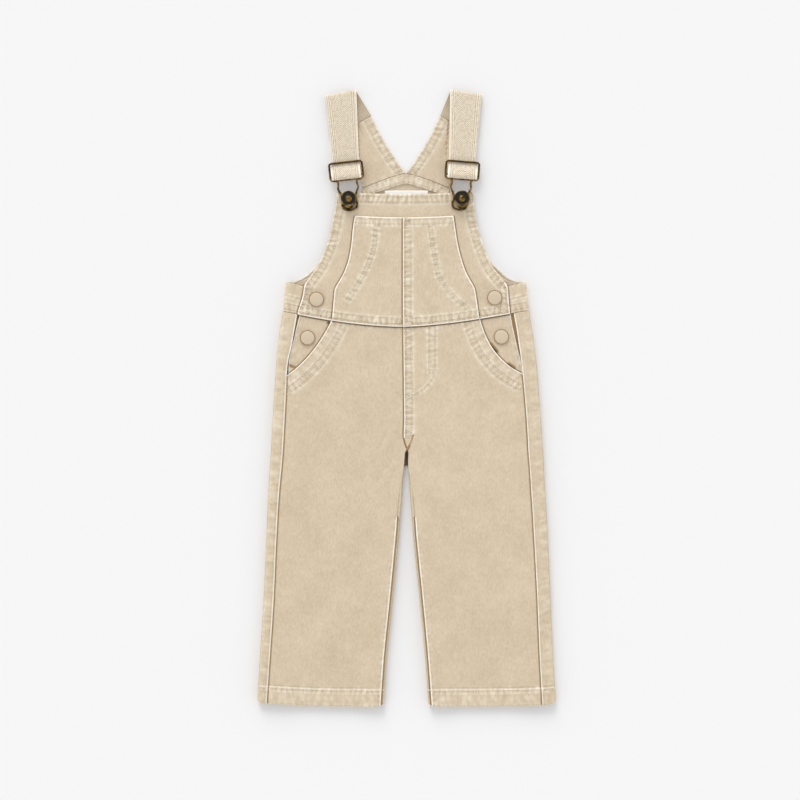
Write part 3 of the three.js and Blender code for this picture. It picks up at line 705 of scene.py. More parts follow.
WAIST = along_x(waist_y, -104.0, 99.0)
BIB_TOP = along_x(lambda x: bib_row(x, BIB_TOP_Y), -65.0, 62.5)
BIB_POCKET_TOP = along_x(lambda x: bib_pocket_row(x, BIB_POCKET_TOP_Y), -48.6, 44.8)
CENTRE_FRONT = along_y(LEFT.inner, FELL_END_Y, WAIST_Y)
CENTRE_END = Path(along_y(LEFT.inner, CROTCH_Y, FELL_END_Y, 1.5).points, 0.45)
BIB_CENTRE = Path([(BIB_POCKET_SEAM_X, WAIST_Y), (BIB_POCKET_SEAM_X, BIB_POCKET_TOP_Y)])
FLY_X, FLY_GAP, FLY_FOOT_Y = 24.3, 2.7, 25.5
FLY_CURVE = ((26.8, 25.5), (24.9, 20.0), (20.0, 13.0), (12.0, 6.6), (4.4, 3.0))
POCKET_FACING_LINES = {
    "left": ((-28.0, 164.6), (-28.9, 146.6), (-33.7, 130.4), (-42.3, 112.4), (-55.6, 91.5)),
    "right": ((21.4, 164.6), (23.3, 147.5), (26.1, 132.3), (29.9, 115.6), (41.3, 99.1), (59.4, 83.0)),
}


def rounded(points, count=24):
    """A smooth curve through a few points."""
    points = np.array(points, float)
    runs = np.concatenate([[0.0], np.cumsum(np.linalg.norm(np.diff(points, axis=0), axis=1))])
    spread = np.linspace(0.0, runs[-1], count)
    padded = np.vstack([2 * points[0] - points[1], points, 2 * points[-1] - points[-2]])
    k = np.clip(np.searchsorted(runs, spread, side="right") - 1, 0, len(points) - 2)
    t = ((spread - runs[k]) / (runs[k + 1] - runs[k]))[:, None]
    p0, p1, p2, p3 = padded[k], padded[k + 1], padded[k + 2], padded[k + 3]
    return 0.5 * (
        2 * p1
        + (p2 - p0) * t
        + (2 * p0 - 5 * p1 + 4 * p2 - p3) * t**2
        + (3 * p1 - p0 - 3 * p2 + p3) * t**3
    )


class Sewing:
    """The lines that shape a piece.

    worn are edges rubbed nearly white, tucked are edges that go under another piece, with shade
    painted beside them, tracks are the middles of double topstitches, lines are single topstitches,
    turned are edges turned under, which gather but stay the colour of the cloth, and deep are gaps
    painted a dark shade.
    bands are the middles of wider rippled strips, each with the pitch of its ripples.
    """

    def __init__(self, worn=(), tucked=(), tracks=(), lines=(), turned=(), deep=(), bands=(), seed=1):
        self.worn = list(worn)
        self.deep = list(deep)
        self.turned = list(turned)
        self.tucked = list(tucked)
        self.tracks = list(tracks)
        self.lines = list(lines)
        self.bands = list(bands)
        self.seed = seed

    def nearest(self, paths, x, y):
        best = np.full(np.shape(x), 60.0)
        for path in paths:
            distance, _, beyond = path.near(x, y)
            distance = np.abs(distance) + 3.0 * beyond + path.faint
            best = np.minimum(best, distance)
        return best

    def gathers(self, x, y):
        """Ridges and troughs that the sewing pulls up across each line."""
        total = np.zeros(np.shape(x))
        weighted = [(path, 1.25, PUCKER_PITCH) for path in self.tracks]
        weighted += [(path, 0.9, PUCKER_PITCH) for path in self.lines]
        weighted += [(path, 0.75, PUCKER_PITCH) for path in self.worn + self.turned if not path.faint]
        weighted += [(path, 0.9, pitch) for path, pitch in self.bands]
        for number, (path, weight, pitch) in enumerate(weighted):
            total = total + weight * puckers(path, x, y, self.seed * 31 + number * 7, pitch)
        return np.clip(total, -1.2, 1.4)

    def fields(self, x, y):
        """What the relief and the material need at each point."""
        edge, track = self.nearest(self.worn, x, y), self.nearest(self.tracks, x, y)
        line, turned = self.nearest(self.lines, x, y), self.nearest(self.turned, x, y)
        band = self.nearest([path for path, _ in self.bands], x, y)
        beside_track = np.maximum(track - TRACK_GAP, 0.0)
        in_band = np.maximum(band - BAND_HALF, 0.0) + BAND_DULL
        sewn = np.min([edge, beside_track, line, turned, in_band], axis=0)
        patchy = 0.75 + 0.25 * noise(x / 9, y / 9, self.seed)
        # Where shade is painted: full beside tucked edges, and a darker painted shade in deep gaps, where
        # the value falls below zero
        tucked = np.minimum(self.nearest(self.tucked, x, y), self.nearest(self.deep, x, y) - DEEP_REACH)
        return {
            "edge": edge,
            "tuck": np.minimum(tucked, TUCK_LIMIT),
            "track": track,
            "line": line,
            "near": (1 - smooth(sewn, 1.2, 5.6)) * patchy,
            "gather": self.gathers(x, y),
        }


def puckers(path, x, y, seed, pitch):
    """Short uneven ridges across a path, with shallow troughs between them."""
    distance, run, beyond = path.near(x, y)
    away = np.abs(distance)
    cell = np.floor(run / pitch)
    total = np.zeros(np.shape(x))
    for step in (-1, 0, 1):
        here = cell + step
        shift, size, slant, reach = (lattice(here, k, seed) for k in (1, 2, 3, 4))
        middle = (here + 0.5 + PUCKER_SHIFT * shift) * pitch
        width = pitch * (PUCKER_WIDTH + PUCKER_VARIES * size)
        offset = (run - middle - PUCKER_SLANT * slant * distance) / width
        fade = 1 - smooth(away, PUCKER_START, PUCKER_REACH * (0.75 + 0.4 * reach))
        total = total + (1.0 + 0.4 * size) * np.exp(-offset * offset) * fade
    trough = 0.5 * (1 - smooth(away, PUCKER_START, PUCKER_REACH * 0.8))
    return (total - trough) * (1 - smooth(beyond, 0.0, 3.0))


FASTENED = [(x, y, SNAP_RADIUS) for x, y, _ in SNAPS.values()]
FASTENED += [(*side.strap["button"], 7.0) for side in SIDES]


def relief(x, y, fields):
    """How far the sewn cloth stands proud of its plain wall."""
    height = 0.1 * noise(x / 17, y / 21, 3) + 0.05 * noise(x / 6, y / 7, 4)
    height = height + ridges(CREASES, x, y)
    height = height + settings().gather_height * fields["gather"]
    height = height + BAND_RELIEF * (1 - smooth(fields["track"], 3.4, 4.6))
    for place_x, place_y, radius in FASTENED:
        away = np.hypot(x - place_x, y - place_y)
        height = height * smooth(away, radius, radius + 4) - 0.12 * (1 - smooth(away, radius, radius + 5))
    return height


# Meshes

def rim_graded(length, step):
    """Distances from 0 to length, closer together at both ends."""
    last = RIM_STEPS[-1]
    count = max(2, int(round((length - 2 * last) / step)))
    middle = np.linspace(last, length - last, count + 1)
    return np.concatenate([RIM_STEPS, middle[1:-1], length - RIM_STEPS[::-1]])


def columns_between(start, end, step):
    """Rows of x from start to end, closer together beside both."""
    width = np.abs(end - start)
    distances = rim_graded(width.max(), step)
    count = len(RIM_STEPS)
    last = RIM_STEPS[-1]
    shares = (distances[count:-count] - last) / (distances[-1] - 2 * last)
    rim = RIM_STEPS[None, :] * np.minimum(1.0, width / (4 * last))[:, None]
    rim[:, 0] = -SEAM_CLOSE
    way = np.sign(end - start)[:, None]
    first = start[:, None] + way * rim
    final = end[:, None] - way * rim[:, ::-1]
    middle = mix(first[:, -1:], final[:, :1], shares[None, :])
    return np.hstack([first, middle, final])


def rounding(distance):
    """Share of the full thickness at a distance from a rim."""
    t = 1 - np.minimum(distance / RIM_RADIUS, 1.0)
    return 0.5 + 0.5 * np.sqrt(1 - t * t)


def rim_distance(grid):
    """Distance of each point of a grid from its outline, along its rows and columns."""
    rows = np.linalg.norm(np.diff(grid, axis=0), axis=2)
    columns = np.linalg.norm(np.diff(grid, axis=1), axis=2)
    down = np.vstack([np.zeros((1, grid.shape[1])), np.cumsum(rows, axis=0)])
    across = np.hstack([np.zeros((grid.shape[0], 1)), np.cumsum(columns, axis=1)])
    vertical = np.minimum(down, down[-1:] - down)
    return np.minimum(vertical, np.minimum(across, across[:, -1:] - across))


class Shell:
    """Closed thin walls that make one piece, with what its material reads at each point."""

    def __init__(self):
        self.points = []
        self.faces = []
        self.fields = []
        self.count = 0
        self.cut = [0.0, 0.0, 0.0]

    def wall(self, outer, inner, fields):
        """Adds a wall between two grids of points of the same shape."""
        rows, columns = outer.shape[:2]
        half = rows * columns
        index = np.arange(half).reshape(rows, columns)
        corners = (index[:-1, :-1], index[:-1, 1:], index[1:, 1:], index[1:, :-1])
        top = np.stack(corners, -1).reshape(-1, 4)
        rim = np.concatenate([index[0], index[1:, -1], index[-1, -2::-1], index[-2:0:-1, 0]])
        after = np.roll(rim, -1)
        sides = np.stack([after, rim, rim + half, after + half], -1)
        faces = np.vstack([top, top[:, ::-1] + half, sides])
        points = np.vstack([outer.reshape(-1, 3), inner.reshape(-1, 3)])
        if enclosed(points, faces) < 0:
            faces = faces[:, ::-1]
        self.points.append(points)
        self.faces.append(faces + self.count)
        under = underside(fields)
        both = {name: np.append(np.ravel(v), np.ravel(under[name])) for name, v in fields.items()}
        self.fields.append(both)
        self.count += 2 * half
        self.measure(outer)

    def measure(self, grid):
        """Keeps the cut's width, length and area, in metres."""
        across = np.linalg.norm(np.diff(grid, axis=1), axis=2).sum(axis=1).max()
        down = np.linalg.norm(np.diff(grid, axis=0), axis=2).sum(axis=0).max()
        u = grid[:-1, 1:] - grid[:-1, :-1]
        v = grid[1:, :-1] - grid[:-1, :-1]
        area = np.linalg.norm(np.cross(u, v), axis=2).sum()
        self.cut[0] = max(self.cut[0], across / 1000)
        self.cut[1] = max(self.cut[1], down / 1000)
        self.cut[2] += area / 1e6

    def finish(self, name, material):
        points = np.vstack(self.points)
        piece = new_piece(name, points, np.vstack(self.faces), material)
        for field in self.fields[0]:
            add_field(piece, field, np.concatenate([fields[field] for fields in self.fields]))
        return piece


def underside(fields):
    """Fields of a wall's inner face, where a worn edge gets painted shade and is not rubbed pale."""
    if "tuck" not in fields:
        return fields
    shaded = np.where(fields["edge"] < 1.4, fields["edge"] + 0.3, fields["tuck"])
    return {**fields, "edge": np.full(fields["edge"].shape, 3.0), "tuck": np.minimum(fields["tuck"], shaded)}


def enclosed(points, faces):
    """Signed volume within quads."""
    a, b, c, d = (points[faces[:, k]] for k in range(4))
    first = np.einsum("ij,ij->i", a, np.cross(b, c))
    second = np.einsum("ij,ij->i", a, np.cross(c, d))
    return (first + second).sum() / 6


def new_piece(name, points, faces, material):
    """A smooth-shaded object at the origin from points in millimetres and quads."""
    mesh = bpy.data.meshes.new(name)
    mesh.vertices.add(len(points))
    mesh.vertices.foreach_set("co", ((points + CENTRING) * 0.001).ravel())
    mesh.loops.add(faces.size)
    mesh.loops.foreach_set("vertex_index", faces.astype(np.int32).ravel())
    mesh.polygons.add(len(faces))
    mesh.polygons.foreach_set("loop_start", np.arange(0, faces.size, 4, dtype=np.int32))
    mesh.update(calc_edges=True)
    mesh.validate()
    mesh.shade_smooth()
    mesh.materials.append(material)
    piece = bpy.data.objects.new(name, mesh)
    bpy.context.scene.collection.objects.link(piece)
    return piece


def add_field(piece, name, values):
    """Gives each vertex a number that a material reads."""
    attribute = piece.data.attributes.new(name, "FLOAT", "POINT")
    attribute.data.foreach_set("value", np.asarray(values, np.float32))


def declare(piece, node):
    """Attaches a finished piece to the root body and hides the part that it stands for."""
    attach(piece, "root")
    if node:
        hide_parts(node)


def flat_wall(shell, row, heights, x, low, sewing, raised=None, tame=1.0):
    """Adds a panel that lies nearly flat, its top shaped by its sewing."""
    heights = heights.copy()
    heights[0] -= SEAM_CLOSE
    heights[-1] += SEAM_CLOSE
    y = row(x, heights[:, None])
    floor = low(x, y)
    plain = np.stack([x, y, floor], -1)
    rim = rim_distance(plain)
    fields = sewing.fields(x, y)
    height = tame * relief(x, y, fields) * smooth(rim, 0.0, 1.6)
    if raised is not None:
        height = height + raised(x, y)
    top = floor + CLOTH * rounding(rim) + height
    shell.wall(np.stack([x, y, top], -1), plain, fields)


def panel(name, node, layout, sewing, raised=None, tame=1.0, finish=None):
    """Builds, names and declares one nearly flat piece. layout is its rows, heights, x and underside."""
    shell = Shell()
    flat_wall(shell, *layout, sewing, raised, tame)
    piece = shell.finish(name, (finish or twill)())
    declare(piece, node)


# Front of the legs

def front_leg(side):
    """Front of a leg, from the side seam and pocket mouth to the inseam and centre seam."""
    inset = GAP / 2

    def outer_edge(y):
        line = np.where(y < side.foot[1], side.seam(y), side.mouth(y))
        return line - side.out * inset

    def fold_share(y):
        return smooth(-y, -BACK_CROTCH_Y, 95.0)

    def inner_edge(y):
        return side.inner(y) + side.out * (inset + FOLD_HEIGHT / 2 * fold_share(y))

    heights = HEM_Y + rim_graded(WAIST_Y - inset - HEM_Y, TOP_STEP)
    x = columns_between(meet(leg_row, heights, outer_edge), meet(leg_row, heights, inner_edge), TOP_STEP)

    def raised(u, v):
        return SEAM_RELIEF * in_hem(u, v) * smooth(v - hem_y(u), 0.0, 1.2)

    node = "front_leg_" + side.name
    layout = (leg_row, heights, x, front_low)
    sewing = front_leg_sewing(side, inner_edge)
    panel("twill_" + node, node, layout, sewing, raised)


def front_leg_sewing(side, inner_edge):
    """What shapes the front of a leg. The right one carries the fell and the fly."""
    side_seam = along_y(side.seam, HEM_Y, side.foot[1])
    inseam = along_y(inner_edge, HEM_Y, INSEAM_SHOWS_Y)
    hem = along_x(hem_y, *sorted((side.inner(HEM_Y), side.seam(HEM_Y))))
    tracks = [inside_body(mouth_path(side, POCKET_TRACK), side, 0.0)]
    lines = [hem.shifted(HEM_DEPTH)]
    worn = [mouth_path(side), inseam, Path(hem.shifted(HEM_DEPTH + HEM_FOLD).points, HEM_FOLD_FAINT)]
    tucked = [WAIST, side_seam, CENTRE_END]
    beside_mouth = mouth_path(side, POCKET_TRACK / 2 - 1.6)
    bands = [(hem.shifted(HEM_DEPTH / 2), WIDE_PITCH), (beside_mouth, WIDE_PITCH)]
    if side is RIGHT:
        tracks.append(CENTRE_FRONT.shifted(-TRACK_INSET))
        lines += fly_lines()
        worn.append(CENTRE_FRONT)
        # Shade painted along the edges of the fell where it narrows
        tucked += [Path(FLAP_EDGES[1:]), Path(FLAP_EDGES[:2], 0.6)]
    else:
        tucked.append(CENTRE_FRONT)
    return Sewing(worn, tucked, tracks, lines, [hem, WAIST], bands=bands, seed=2 if side is LEFT else 3)


def fly_lines():
    """The two rows of stitching that outline the fly."""
    upright = [(FLY_X - FLY_GAP, WAIST_Y), (FLY_X - FLY_GAP, FLY_FOOT_Y + 1)]
    upper = [(FLY_X + FLY_GAP, WAIST_Y), (FLY_X + FLY_GAP, FLY_FOOT_Y + 4)]
    return [Path(upright), Path(upper + list(rounded(FLY_CURVE)))]


# Backs of the legs

def back_leg(side):
    """Back of a leg, wrapped round its outer fold to the side seam and round the inseam."""
    heights = HEM_Y + rim_graded(WAIST_Y - GAP / 2 - HEM_Y, 1.5)
    sections = [back_leg_section(side, height) for height in heights]
    outer = np.array([points for points, _ in sections])
    normals = np.array([directions for _, directions in sections])
    fold = along_y(lambda y: side.outer(y) - side.out * 1.5, HEM_Y, WAIST_Y + 12)
    strip_middle = fold.shifted(side.out * 3.0)
    x, y = outer[..., 0], outer[..., 1]
    fields = back_leg_sewing(side, strip_middle).fields(x, y)
    fields["edge"] = np.where(normals[..., 2] > 0.5, fields["edge"], 60.0)
    # Painted shade on faces that turn sideways, down the sides of the folds
    fields["tuck"] = np.minimum(fields["tuck"], 0.75 + 1.5 * np.abs(normals[..., 2]))
    ladder = Sewing(tracks=[strip_middle], seed=9 if side is LEFT else 11)
    fields["gather"] = np.clip(0.75 * (fields["gather"] + 0.8 * ladder.gathers(x, y)), -1.2, 1.2)
    fields["near"] = fields["near"] * 0.8
    on_top = smooth(normals[..., 2], -0.3, 0.5)
    rim = rim_distance(outer)
    height = relief(x, y, fields) * on_top * smooth(rim, 0.0, 1.6)
    height = height + 0.3 * in_hem(x, y) * on_top
    fields["gather"] = fields["gather"] * smooth(normals[..., 2], -0.9, 0.2)
    proud = outer + normals * (height - CLOTH * (1 - rounding(rim)))[..., None] * np.abs(on_top)[..., None]
    inner = outer - normals * CLOTH
    shell = Shell()
    shell.wall(proud, inner, fields)
    piece = shell.finish("twill_back_leg_" + side.name, twill())
    declare(piece, "back_leg_" + side.name)


def back_leg_sewing(side, strip_middle):
    """What shapes the back of a leg, with the ripples of its strip beside the side seam."""
    side_seam = along_y(side.seam, HEM_Y, WAIST_Y + 12)
    inseam = along_y(side.inner, HEM_Y, INSEAM_SHOWS_Y).shifted(-side.out * 2.7)
    # The crotch slit, painted a dark shade
    slit = Path([(CROTCH_X, BACK_CROTCH_Y), (CROTCH_X, CROTCH_Y)])
    hem_line = along_x(lambda u: hem_y(u, HEM_DEPTH), -145.0, 145.0)
    hem = hem_line.shifted(-HEM_DEPTH)
    bands = [(hem.shifted(HEM_DEPTH / 2), WIDE_PITCH), (strip_middle, STRIP_PITCH)]
    worn = [side_seam, Path(hem_line.shifted(HEM_FOLD).points, HEM_FOLD_FAINT)]
    return Sewing(worn, [inseam], [], [hem_line], [hem], [slit], bands, seed=5)


def back_leg_section(side, height):
    """Points and outward directions from the inseam over the surface to the side seam."""
    out = side.out
    one = np.array([height])
    outer_x = meet(leg_row, one, side.outer)[0]
    inner_x = meet(leg_row, one, side.back_inner)[0] + out * GAP / 2
    strip_x = meet(leg_row, one, side.seam)[0] + out * GAP / 2
    inner_radius = front_top(inner_x, leg_row(inner_x, height)) / 2
    outer_radius = FOLD_HEIGHT / 2
    wrapped = height < BACK_CROTCH_Y - 1
    share = np.linspace(0.0, 1.0, 9)
    if wrapped:
        angle = np.radians(mix(84.0, -90.0, share))
        x = inner_x + out * inner_radius * (1 - np.cos(angle))
        z = inner_radius * (1 + np.sin(angle))
        turn = np.stack([-out * np.cos(angle), 0 * angle, np.sin(angle)], -1)
    else:
        x = inner_x + out * inner_radius * share
        z = 0 * share
        turn = np.tile([0.0, 0.0, -1.0], (len(share), 1))
    floor_to = outer_x - out * outer_radius
    floor_x = np.linspace(x[-1], floor_to, 26)[1:-1]
    angle = np.radians(np.linspace(-90.0, 90.0, 13))
    fold_x = floor_to + out * outer_radius * np.cos(angle)
    fold_z = outer_radius * (1 + np.sin(angle))
    fold_turn = np.stack([out * np.cos(angle), 0 * angle, np.sin(angle)], -1)
    width = abs(strip_x - floor_to)
    strip = np.concatenate([np.linspace(0.0, width - RIM_STEPS[-1], 9)[1:-1], width - RIM_STEPS[::-1]])
    strip[-1] += SEAM_CLOSE
    strip = floor_to - out * strip
    strip_z = front_top(strip, leg_row(strip, height))
    down, up = np.array([0.0, 0.0, -1.0]), np.array([0.0, 0.0, 1.0])
    all_x = np.concatenate([x, floor_x, fold_x, strip])
    all_z = np.concatenate([z, 0 * floor_x, fold_z, strip_z])
    directions = np.vstack([turn, np.tile(down, (len(floor_x), 1)), fold_turn, np.tile(up, (len(strip), 1))])
    return np.stack([all_x, leg_row(all_x, height), all_z], -1), directions


def hip_facing(side):
    """Layer inside the pocket mouth that carries the lower snap."""
    inset = -side.out * GAP

    def tucked_edge(y):
        return side.mouth(y) - side.out * FACING_TUCK

    top = WAIST_Y - GAP / 2
    heights = FACING_FOOT_Y + rim_graded(top - FACING_FOOT_Y, TOP_STEP)
    start = meet(leg_row, heights, side.facing) + inset
    x = columns_between(start, meet(leg_row, heights, tucked_edge), TOP_STEP)
    opening = along_y(side.facing, FACING_FOOT_Y, 84.0)
    tucked = [WAIST, mouth_path(side), Path([(-112.1, 32.9), (-104.8, 29.5)])]
    wedges = [Path(ends) for ends in FACING_WEDGES[side.name]]
    sewing = Sewing([opening], tucked, [], [opening.shifted(-side.out * 4.0)], deep=wedges, seed=13)

    def raised(u, v):
        return ridges(FACING_CREASES, u, v)

    node = "hip_facing_" + side.name
    layout = (leg_row, heights, x, under_front)
    panel("twill_" + node, node, layout, sewing, raised, 0.4)


def side_placket(side):
    """Narrow underlap of the side opening."""
    heights = PLACKET_FOOT_Y + rim_graded(WAIST_Y - GAP / 2 - PLACKET_FOOT_Y, TOP_STEP)
    edge = meet(leg_row, heights, side.outer)
    near, far = PLACKET_DEPTH
    x = columns_between(edge - side.out * near, edge - side.out * far, TOP_STEP)
    node = "side_placket_" + side.name
    layout = (leg_row, heights, x, on_back)
    panel("twill_" + node, node, layout, Sewing(seed=15), None, 0.3, sheltered_twill)


# Bib

def bib_edge(side):
    return along_y(side.bib, 82.0, BIB_TOP_Y + 3.0)


def front_bib():
    """Front bib, from the waist seam to its hemmed top."""
    heights = WAIST_Y + GAP / 2 + rim_graded(BIB_TOP_Y - WAIST_Y - GAP / 2, TOP_STEP)
    start, end = meet(bib_row, heights, LEFT.bib), meet(bib_row, heights, RIGHT.bib)
    x = columns_between(start, end, TOP_STEP)
    edges = [bib_edge(side) for side in SIDES]
    tracks = [bib_edge(LEFT).shifted(-TRACK_INSET), bib_edge(RIGHT).shifted(TRACK_INSET)]
    tracks += [WAIST.shifted(TRACK_INSET), BIB_TOP.shifted(-TRACK_INSET - 0.5)]
    worn = [WAIST] + [along_y(side.bib, 66.0, 111.0) for side in SIDES]
    tucked = [bib_pocket_side(side) for side in SIDES]
    sewing = Sewing(worn, tucked, tracks, [], edges + [BIB_TOP], seed=4)

    def raised(u, v):
        hem = smooth(v - bib_row(u, BIB_TOP_Y - BIB_HEM), -0.5, 0.6)
        return 0.12 * hem * (1 - smooth(v - bib_row(u, BIB_TOP_Y), -1.0, 0.0))

    def calm(u, v):
        """Flattens the relief where the pocket covers it."""
        covered = (u > LEFT.bib_pocket(v) - 1) & (u < RIGHT.bib_pocket(v) + 1)
        return np.where(covered & (v < bib_pocket_row(u, BIB_POCKET_TOP_Y) + 1), 0.15, 1.0)

    y = bib_row(x, heights[:, None])
    layout = (bib_row, heights, x, front_low)
    panel("twill_bib", "front_bib", layout, sewing, raised, calm(x, y))


def bib_pocket_side(side):
    return along_y(side.bib_pocket, WAIST_Y + 8, BIB_POCKET_TOP_Y + 2)


def bib_pocket_half(side):
    """Half of the bib pocket, whose slanted side is faced and open."""
    seam = BIB_POCKET_SEAM_X + side.out * GAP / 2
    low = WAIST_Y + GAP / 2
    heights = low + rim_graded(BIB_POCKET_TOP_Y - low, TOP_STEP)
    end = meet(bib_pocket_row, heights, side.bib_pocket)
    x = columns_between(np.full(len(heights), seam), end, TOP_STEP)
    opening = bib_pocket_side(side)
    facing = Path(rounded(POCKET_FACING_LINES[side.name]))
    tracks = [WAIST.shifted(TRACK_INSET)]
    lines = [facing, facing.shifted(side.out * 2.6), BIB_POCKET_TOP.shifted(-BIB_POCKET_HEM)]
    worn = [opening, BIB_POCKET_TOP, WAIST]
    tucked = []
    if side is RIGHT:
        tracks.append(BIB_CENTRE.shifted(-TRACK_INSET))
        worn.append(BIB_CENTRE)
    else:
        tucked.append(BIB_CENTRE)
    sewing = Sewing(worn, tucked, tracks, lines, seed=6 if side is LEFT else 7)
    node = "bib_pocket_" + side.name
    layout = (bib_pocket_row, heights, x, bib_pocket_low)
    panel("twill_" + node, node, layout, sewing)


# Back

def back_panel():
    """Back of the bib on the surface, with the tabs that come round its sides."""
    low = WAIST_Y + GAP / 2
    heights = low + rim_graded(ARCH_FOOT_Y - GAP / 2 - low, HIDDEN_STEP)
    start, end = meet(back_row, heights, LEFT.back), meet(back_row, heights, RIGHT.back)
    x = columns_between(start, end, HIDDEN_STEP)
    edges = [along_y(side.back, 108.0, 200.0) for side in SIDES]
    arch = along_x(arch_y, -42.0, 41.0)
    tracks = [edges[0].shifted(-TRACK_INSET), edges[1].shifted(TRACK_INSET)]
    sewing = Sewing([], [arch], tracks, [], edges, seed=8)
    shell = Shell()
    flat_wall(shell, back_row, heights, x, on_floor, sewing, tame=0.6)
    for side in SIDES:
        side_tab(shell, side)
    piece = shell.finish("twill_back", twill())
    declare(piece, "back_panel")


def side_tab(shell, side):
    """Adds the tab that comes from the surface round the fold and in under the bib."""
    out = side.out
    radius = FOLD_HEIGHT / 2
    shares = rim_graded(42.0, TOP_STEP) / 42.0
    angle = np.radians(np.linspace(-90.0, 90.0, 13))
    depths = np.concatenate([np.arange(4.2, 22.0, TOP_STEP), [25.0, 30.0, TAB_DEPTH]])
    points, directions = [], []
    for share in shares:
        guess = mix(84.0, TAB_TOP_Y, share)
        edge = side.outer(guess)
        centre = edge - out * radius
        fold_x = centre + out * radius * np.cos(angle)
        strip_x = edge - out * depths
        dip = smooth(depths, radius, TAB_DIP_DEPTH)
        strip_z = mix(FOLD_HEIGHT, under_front(strip_x, guess) + CLOTH, dip)
        x = np.concatenate([[centre - out * 3.0], fold_x, strip_x])
        z = np.concatenate([[0.0], radius * (1 + np.sin(angle)), strip_z])
        turn_x = np.concatenate([[0.0], out * np.cos(angle), 0 * strip_x])
        turn_z = np.concatenate([[-1.0], np.sin(angle), np.ones(len(strip_x))])
        slope = np.where(turn_z > 0, np.abs(x - edge) * TAB_SLOPE, 0.0)
        y = mix(WAIST_Y + waist_rise(x) + GAP / 2, TAB_TOP_Y - slope, share)
        points.append(np.stack([x, y, z], -1))
        directions.append(np.stack([turn_x, 0 * turn_x, turn_z], -1))
    outer, normals = np.array(points), np.array(directions)
    x, y = outer[..., 0], outer[..., 1]
    fields = side_tab_sewing(side).fields(x, y)
    on_top = smooth(normals[..., 2], -0.2, 0.4)
    rim = rim_distance(outer)
    lift = relief(x, y, fields) * on_top * smooth(rim, 0.0, 1.6)
    lift = lift * np.where(out * (x - side.bib(y)) < 1.5, 0.1, 1.0)
    lift = lift - CLOTH * (1 - rounding(rim)) * on_top
    shell.wall(outer + normals * lift[..., None], outer - normals * CLOTH, fields)


def side_tab_sewing(side):
    """What shapes a tab, whose inner part lies under the bib."""

    def top_line(u):
        return TAB_TOP_Y - TAB_SLOPE * np.abs(u - side.outer(TAB_TOP_Y))

    reach = sorted((side.outer(100.0) + side.out, side.outer(100.0) - side.out * 24))
    top_edge = along_x(top_line, *reach, step=2.0)
    waist = along_x(waist_y, *reach, step=2.0)
    cover = along_y(side.bib, 80.0, 112.0)
    hem_line = top_edge.shifted(-TAB_LINE)
    return Sewing([], [cover], [waist.shifted(TRACK_INSET)], [hem_line], [top_edge, waist], seed=19)


def neck_band():
    """Arched band over the seam between the back and the yoke."""
    heights = rim_graded(ARCH_BAND, 1.0)
    start, end = ARCH_X - ARCH_HALF_WIDTH, ARCH_X + ARCH_HALF_WIDTH
    ends = np.full(len(heights), start), np.full(len(heights), end)
    x = columns_between(*ends, 1.0)

    def row(u, height):
        return arch_y(u) - GAP / 2 - ARCH_BAND + height

    upper = along_x(arch_y, start, end, 2.0)
    lower = along_x(lambda u: arch_y(u) - ARCH_BAND, start, end, 2.0)
    lines = [upper.shifted(-1.4), lower.shifted(1.4)]
    sewing = Sewing([], [], [], lines, [upper, lower], seed=21)
    layout = (row, heights, x, on_back)
    panel("twill_neck_band", "neck_band", layout, sewing)


def yoke_edge(side, inner, count=24):
    """The inner or outer edge of a yoke strap, from the arch to the webbing."""
    foot_x = ARCH_X + side.out * GAP / 2 if inner else side.strap["yoke_foot"]
    foot = np.array([foot_x, arch_y(foot_x) + GAP])
    head = np.array(side.strap["join"][1 if inner else 0])
    t = np.linspace(0.0, 1.0, count)
    bow = YOKE_BOW * np.sin(math.pi * t) if inner else 0 * t
    x = mix(foot[0], head[0], t) + side.out * bow
    return np.stack([x, mix(foot[1], head[1], t)], -1)


def yoke_strap(side):
    """Wide foot of a strap, from the arch seam up to the webbing."""
    shares = rim_graded(68.0, 1.4) / 68.0
    count = len(shares)
    across = rim_graded(30.0, 1.4) / 30.0
    foot_inner = ARCH_X + side.out * GAP / 2
    foot_x = mix(side.strap["yoke_foot"], foot_inner, across)[None, :]
    foot_y = arch_y(foot_x) + GAP
    head_outer, head_inner = (np.array(p) for p in side.strap["join"])
    head_x = mix(head_outer[0], head_inner[0], across)[None, :]
    head_y = mix(head_outer[1], head_inner[1], across)[None, :]
    t = shares[:, None]
    bow = side.out * YOKE_BOW * np.sin(math.pi * t) * across[None, :]
    x = mix(foot_x, head_x, t) + bow
    y = mix(foot_y, head_y, t) + np.zeros((count, len(across)))
    plain = np.stack([x, y, 0 * x], -1)
    inner_edge = Path(yoke_edge(side, True))
    outer_edge = Path(yoke_edge(side, False))
    arch = along_x(arch_y, -42.0, 41.0)
    tracks = [inner_edge.shifted(side.out * -TRACK_INSET)]
    turned = [inner_edge, outer_edge, arch]
    shadows = [Path(*shadow) for shadow in YOKE_SHADOWS[side.name]]
    sewing = Sewing([], shadows, tracks, [], turned, seed=23 if side is LEFT else 24)
    fields = sewing.fields(x, y)
    rim = rim_distance(plain)
    lift = relief(x, y, fields) * smooth(rim, 0.0, 1.6)
    top = CLOTH * rounding(rim) + lift
    shell = Shell()
    shell.wall(np.stack([x, y, top], -1), plain, fields)
    piece = shell.finish("twill_yoke_" + side.name, twill())
    declare(piece, "yoke_strap_" + side.name)


# Straps

def on_buckle(side, u, v):
    """A point of a buckle's own plane, as x and y."""
    x, y, turn = side.strap["buckle"]
    turn = math.radians(turn)
    return np.array([
        x + u * math.cos(turn) - v * math.sin(turn),
        y + u * math.sin(turn) + v * math.cos(turn),
    ])


